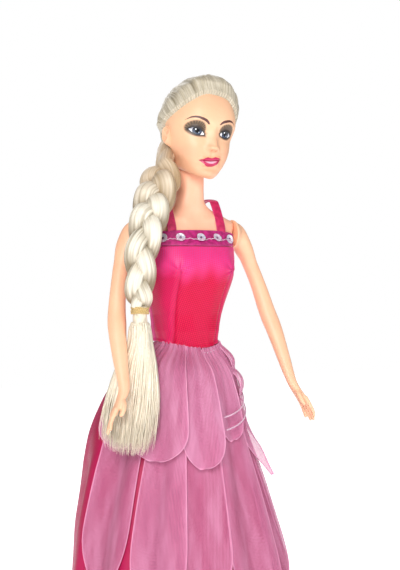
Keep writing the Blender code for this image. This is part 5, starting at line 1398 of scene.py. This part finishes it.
def build_band():
    """Neckline ribbon with five sequins sewn on by a bead and one pale thread."""
    angle = np.linspace(-BAND_REACH, BAND_REACH, 200)[None, :]
    share = np.linspace(0, 1, 26)[:, None]
    wave = 0.06 * np.sin(np.radians(angle) * 31) * np.sin(np.pi * share)
    roll = -0.12 * (bell(share, 0.0, 0.05) + bell(share, 1.0, 0.05))
    grid = band_points(angle, share, wave + roll - 0.48)
    edge = np.clip(np.maximum(1 - share / 0.09, 1 - (1 - share) / 0.09), 0, 1)
    made = shell("neckline_ribbon", grid, 0.5, band_stuff, woven(grid, rim=edge))
    attach(made, "torso", "ribbon", "neckline_band")
    tilts = rng.uniform(-0.16, 0.16, (5, 2))
    for i, (at, tilt) in enumerate(zip(SEQUIN_ANGLES, tilts)):
        build_sequin(i + 1, at, tilt)
    angles = np.linspace(-52.9, 52.9, 260)
    near = np.min(np.abs(angles[:, None] - np.array(SEQUIN_ANGLES)[None, :]), 1)
    sag = 0.44 - 0.05 * np.cos(np.radians(angles / 23 * 360)) + 0.02 * np.sin(angles)
    line = band_points(angles, sag, 0.30 + bell(near, 0.0, 4.2))
    thread = wound_thread("sequin_thread_twisted", line, 0.15, 8, pale_thread)
    attach(thread, "torso", "thread", "sequin_thread")


def across_body(x, height, back, lift):
    """A point of the torso moved out by a lift, at an X, on its front or back."""
    low, high = (180.0 if back else 0.0), 90.0
    for _ in range(24):
        middle = (low + high) / 2
        if torso_points(height, middle, lift)[0] < abs(x):
            low = middle
        else:
            high = middle
    return np.array([x, torso_points(height, low, lift)[1], height])


def build_straps():
    """Two loose ribbons over the shoulders; each stands off the skin as a loop."""
    top, off = HIP + 92.3, GAP + SATIN + 2 * GAP
    for side, word in SIDES:
        x = side * STRAP_X
        band_top = BODICE_TOP + GAP + BAND_WIDTH
        spine = [across_body(x, band_top + GAP + rise * STRAP_RISE, False, 2 * GAP) for rise in (0.0, 0.5)]
        spine[0][2] -= 3.0
        back = across_body(x, SHOULDER, True, off)
        for deep, down in ((0.28, 0.32), (0.42, 0.03), (0.50, 0.0), (0.86, 0.25), (0.97, 1.0)):
            y = spine[1][1] + (back[1] - spine[1][1]) * deep
            spine.append(np.array([x, y, top - down * STRAP_RISE]))
        spine += [across_body(x, z, True, off) for z in (SHOULDER, (SHOULDER + 219.5) / 2, 219.5)]
        gone = distances(np.array(spine))
        line = hermite([(g, *p) for g, p in zip(gone, spine)], np.linspace(0, gone[-1], 110))
        ahead = unit(np.gradient(line, axis=0))
        wide = unit(np.cross(np.cross(ahead, X), ahead))
        out = unit(np.cross(wide, ahead))
        t = np.linspace(-1, 1, 15)
        grid = (line[:, None] + wide[:, None] * (t * STRAP_HALF_WIDTH)[None, :, None]
                + out[:, None] * (-0.18 * t**2)[None, :, None])
        if grid_normals(grid)[40, 7, 2] < 0:
            grid = grid[:, ::-1]
        fields = woven(grid, rim=np.clip((np.abs(t) - 0.84) / 0.12, 0, 1)[None, :])
        fields["weave_u"], fields["weave_v"] = fields["weave_v"], fields["weave_u"]
        made = shell(f"strap_{word}_ribbon", grid, 0.42, strap_stuff, fields)
        attach(made, "torso", "ribbon", f"strap_{word}")


def build_waist_tape():
    angle = np.linspace(-180, 180, 140, endpoint=False)[None, :]
    height = np.linspace(WAIST - BODICE_DIP - 1.7, WAIST + 1.7, 14)[:, None]
    grid = torso_points(height, angle, GAP * 1.5)
    made = cloth("waist_tape_ribbon", grid, strap_stuff, 0.5, woven(grid, rim=0.0), wrap=True)
    attach(made, "torso", "ribbon", "waist_tape")


def skirt_radius(angle, drop):
    """The underskirt's plain radius, smoothly between the rows' drops and the given angles."""
    angle, drop = np.broadcast_arrays(np.asarray(angle, float), np.asarray(drop, float))
    values = hermite(SKIRT_ROWS, drop)
    turn = (angle + 180.0) % 360.0 - 180.0
    stops = np.array(SKIRT_ANGLES)
    k = np.clip(np.searchsorted(stops, turn, side="right") - 1, 0, len(stops) - 2)
    low, high = np.maximum(k - 1, 0), np.minimum(k + 2, len(stops) - 1)
    span = stops[k + 1] - stops[k]
    t = (turn - stops[k]) / span
    a, b, c, d = (np.take_along_axis(values, at[..., None], -1)[..., 0] for at in (low, k, k + 1, high))
    rise_low = (c - a) / np.maximum(stops[k + 1] - stops[low], span) * span
    rise_high = (d - b) / np.maximum(stops[high] - stops[k], span) * span
    plain = ((2 * t**3 - 3 * t**2 + 1) * b + (t**3 - 2 * t**2 + t) * rise_low
             + (3 * t**2 - 2 * t**3) * c + (t**3 - t**2) * rise_high)
    swell = SKIRT_SWELL * bell(turn, -120.0, 32.0) * ease(0.10, 0.34, drop) * (1 - ease(0.60, 0.95, drop))
    return SKIRT_RADIUS * plain + swell


def fold_depth(drop):
    return np.minimum(1.0, drop * 2.4) * (0.55 + 0.45 * drop) * 0.045 * SKIRT_RADIUS


def skirt_points(angle, drop, lift, folds=1.0):
    """Points of a skirt layer, lifted off the underskirt square to its slope."""
    angle, drop, lift = np.broadcast_arrays(*(np.asarray(v, float) for v in (angle, drop, lift)))
    height = bodice_bottom(angle) - GAP - SATIN - drop * SKIRT_LENGTH
    before, after = np.maximum(0.0, drop - 0.01), drop + 0.01

    def radius(at):
        return skirt_radius(angle, at) + folds * np.cos(np.radians(angle) * SKIRT_FOLDS) * fold_depth(at)

    flare = np.arctan2(radius(after) - radius(before), (after - before) * SKIRT_LENGTH)
    body = np.linalg.norm(torso_points(height, angle, 2 * GAP + 0.5)[..., :2], axis=-1)
    out = np.where(height > 162.0, np.maximum(radius(drop), body), radius(drop)) + lift * np.cos(flare)
    wx, wy = ways(angle)
    return xyz(wx * out, wy * out, height + lift * np.sin(flare))


def wrinkle(angle, drop, seed):
    """Small soft creases that run down the cloth."""
    local = np.random.default_rng(seed)
    total = 0.0
    for _ in range(7):
        a, b, c = local.uniform(6, 30), local.uniform(1.5, 7), local.uniform(0, 6.3)
        total = total + np.sin(np.radians(angle) * a + drop * b * 3 + c + 1.2 * np.sin(drop * 9 + c)) / 7
    return total


def carry(obj, half):
    """A piece with no half of the skirt is attached to the torso; a front piece's place is baked into its
    points.
    """
    if half is None:
        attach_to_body(obj, "torso")
    else:
        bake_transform(obj)


def build_underskirt():
    """Three gores of satin from the waist to a turned hem; each lower edge tucks under the next."""
    for word, low, high, columns, half in (
        ("front_right", -92.0, -0.65, 96, "right"), ("front_left", -4.2, 92.0, 100, "left"),
        ("back", 89.0, 271.0, 190, None),
    ):
        angle = np.linspace(low, high, columns)[None, :]
        drop = (np.linspace(1, 0, 110) ** 1.4)[:, None]
        gather = 0.30 * np.sin(np.radians(angle) * 46) * (1 - ease(0.02, 0.16, drop)) * ease(0.0, 0.02, drop)
        tuck = 0.0
        if word == "back":
            tuck = 0.95 * (1 - ease(92.2, 97.0, 180.0 - np.abs(180.0 - angle)))
        if word == "front_left":
            tuck = 0.95 * (1 - ease(-0.4, 4.0, angle))
        crinkle = wrinkle(angle, drop, 5) * 0.5 * ease(0.05, 0.3, drop)
        grid = skirt_points(angle, drop, crinkle + gather - tuck)
        hem = bell((1 - drop) * SKIRT_LENGTH, 2.4, 0.25)
        # painted light: one flank of each fold is pinker, and a line of painted shade runs along the hem
        panel = 0.5 + 0.5 * np.sin(np.radians(angle) * SKIRT_FOLDS)
        fields = woven(grid, panel=panel, crease=0.6 * hem, rim=0.0)
        made = shell(f"underskirt_{word}_satin", grid, SATIN * 0.9, under_satin, fields)
        carry(made, half)
        dress(made, "underskirt_satin", f"underskirt_{word}")


def petal_half_width(share):
    body = 0.86 + 0.14 * np.sin(np.pi / 2 * np.minimum(share, 0.72) / 0.72)
    end = np.sqrt(np.maximum(0.0, 1.0 - (np.maximum(share - 0.72, 0) / 0.285) ** 2))
    return np.where(share < 0.72, body, end)


def petal(name, stuff, seed, thicker, centre, width, top, length, lift, point=0.0, flare=0.0):
    """A petal of organza with a rolled rim: the piece and its grid."""
    share = ((1 - np.cos(np.pi * np.linspace(1, 0, 64))) / 2)[:, None]
    v = np.sin(np.linspace(-1, 1, 60) * np.pi / 2)[None, :]
    drop = top + (length - top) * share
    angle = centre + v * width / 2 * petal_half_width(share) * (1 - point * ease(0.45, 1.0, share))
    lift = lift + flare * np.where(point > 0, share**4, np.sin(np.pi * share))
    lap = np.minimum(1.2, 0.4 * lift) * (v + 1) / 2 * np.minimum(1.0, 0.25 + drop * 8)
    soft = wrinkle(angle, drop, seed) * 0.60 * ease(0.02, 0.12, drop) * np.minimum(1.0, lift / 2.0)
    gather = 0.30 * np.sin(np.radians(angle) * 52 + 0.5 * np.sin(angle * 0.2)) * (1 - ease(0.03, 0.20, drop))
    close = 0.30 + 0.70 * ease(0.0, 0.09, drop)
    grid = skirt_points(angle, drop, lift * close + lap + soft + gather)
    side = np.linalg.norm(np.diff(grid, axis=1), axis=2).sum(1)[:, None]
    across = (1 - np.abs(v)) / 2 * side
    down = (1 - share) * (length - top) * SKIRT_LENGTH
    rim = bell(np.minimum(across, 0.6 * down + 0.15 * across), 0.0, 0.42)
    return shell(name + "_organza", grid, PETAL_THICKNESS + thicker * rim, stuff, woven(grid, rim=rim)), grid


def build_petals():
    """Two tiers of petals, and a pointed petal and two puffs at the doll's left side."""
    for tier, rows, top, stuff in (("lower", LOWER, 0.002, low_organza), ("upper", UPPER, -0.004, organza)):
        for i, (word, centre, width, length, lift, half) in enumerate(rows):
            name = f"{tier}_petal_{word}"
            made, grid = petal(name, stuff, 20 + i, 0.22, centre, width, top, length, lift)
            carry(made, half)
            dress(made, "organza", *([name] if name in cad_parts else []))
    for name, *form in ASIDE:
        made, grid = petal(name, organza, 40, 0.20, *form)
        attach(made, "skirt_left", "organza")


def build_threads():
    """Two loose threads drawn across the petals at the left, and a row of stitches at the waist."""
    angles = np.linspace(6, 92, 130)
    share = (angles - 6) / 86
    for word, drop in (("upper", 0.222), ("lower", 0.262)):
        sag = 0.004 * np.sin(np.pi * share)
        line = skirt_points(angles, drop - 0.055 * share + sag, 3.2 + fold_depth(drop), 0.0)
        made = wound_thread(f"side_thread_{word}_twisted", line, 0.30, 8, pale_thread)
        attach(made, "skirt_left", "thread", f"side_thread_{word}")
    count, steps, sides = STITCHES, 12, 8
    t = np.linspace(0, np.pi, steps)
    size = 0.24 * np.sqrt(np.maximum(np.sin(t), 0.05))
    points = []
    for i in range(count):
        a = np.linspace(0, 3.0, steps) - 20 + i * 4.2
        line = skirt_points(a, 0.012 + 0.0016 * np.sin(i * 2.1), 0.62 + 0.22 * np.sin(t))
        points.append(tube_points(line, *frames(line, np.broadcast_to(Z, line.shape)), size, size, sides))
    shape = (count, steps, sides)
    fields = {"weave_u": np.broadcast_to(np.arange(sides) * 2 * np.pi / sides, shape),
              "weave_v": np.broadcast_to(np.linspace(0, 1.2, steps)[None, :, None], shape)}
    faces = [grid_quads(steps, sides, True) + i * steps * sides for i in range(count)]
    attach(make("waist_stitches", points, np.concatenate(faces), white_thread, fields), "torso", "thread")


build_band()
build_straps()
build_waist_tape()
build_bodice()
build_underskirt()
build_petals()
build_threads()

# Floor, light and camera
work = bmesh.new()
bmesh.ops.create_grid(work, x_segments=8, y_segments=8, size=1.6)
floor_mesh = bpy.data.meshes.new("floor")
work.to_mesh(floor_mesh)
work.free()
floor = bpy.data.objects.new("floor", floor_mesh)
bpy.context.scene.collection.objects.link(floor)
paper = plain_stuff("floor_paper", shade(244, 244, 246), shade(240, 240, 244), 0.8, 0.6, specular=0.0)
# the floor glows: its emission grows from 0.7 near the doll to 1.0 further out, on top of the light it
# catches
paper.inputs["Emission Color"].default_value = (1, 1, 1, 1)
far = paper.add("VectorMath", {0: paper.place()}, "Value", operation="LENGTH")
paper.put(paper.inputs["Emission Strength"], paper.step(60.0, 420.0, far) * 0.30 + 0.70)
floor.data.materials.append(paper.material)


def soft_light(name, at, size, watts, tint):
    """A round lamp that looks at the doll's middle."""
    lamp = bpy.data.lights.new(name, "AREA")
    lamp.shape = "DISK"
    lamp.size = size
    lamp.energy = watts
    lamp.color = tint
    obj = bpy.data.objects.new(name, lamp)
    obj.location = at
    obj.rotation_euler = (Vector((0.0, 0.0, 0.20)) - Vector(at)).to_track_quat("-Z", "Y").to_euler()
    bpy.context.scene.collection.objects.link(obj)


soft_light("key", (-0.50, -0.64, 0.62), 0.45, 6.3, (1.0, 0.985, 0.97))
soft_light("fill", (0.45, -0.85, 0.35), 0.8, 2.3, (0.98, 0.99, 1.0))
soft_light("rim", (0.30, 0.80, 0.60), 0.6, 1.6, (1.0, 1.0, 1.0))

world = bpy.data.worlds.new("studio")
bpy.context.scene.world = world
world.use_nodes = True
sky = Nodes(world.node_tree)
background = sky.tree.nodes["Background"].inputs
background["Color"].default_value = (1, 1, 1, 1)
path = sky.tree.nodes.new("ShaderNodeLightPath").outputs
seen = sky.math("MAXIMUM", path["Is Camera Ray"], path["Is Transmission Ray"])
sky.put(background["Strength"], sky.add("MapRange", {"Value": seen, "To Min": 0.22, "To Max": 1.0}))

camera = bpy.data.cameras.new("camera")
camera.sensor_fit = "AUTO"
camera.sensor_width = 24.0
camera.lens = VIEW_FOCUS / PHOTO_HEIGHT * camera.sensor_width
camera.shift_x = VIEW_SHIFT / PHOTO_HEIGHT
camera.clip_start = 0.01
eye = bpy.data.objects.new("camera", camera)
eye_x, eye_y = ways(VIEW_TURN)
eye.location = (eye_x * VIEW_DISTANCE, eye_y * VIEW_DISTANCE, VIEW_HEIGHT)
eye.rotation_euler = (math.radians(90.0 - VIEW_DROP), 0.0, math.radians(VIEW_TURN))
bpy.context.scene.collection.objects.link(eye)
bpy.context.scene.camera = eye
bpy.context.scene.view_settings.view_transform = "Standard"
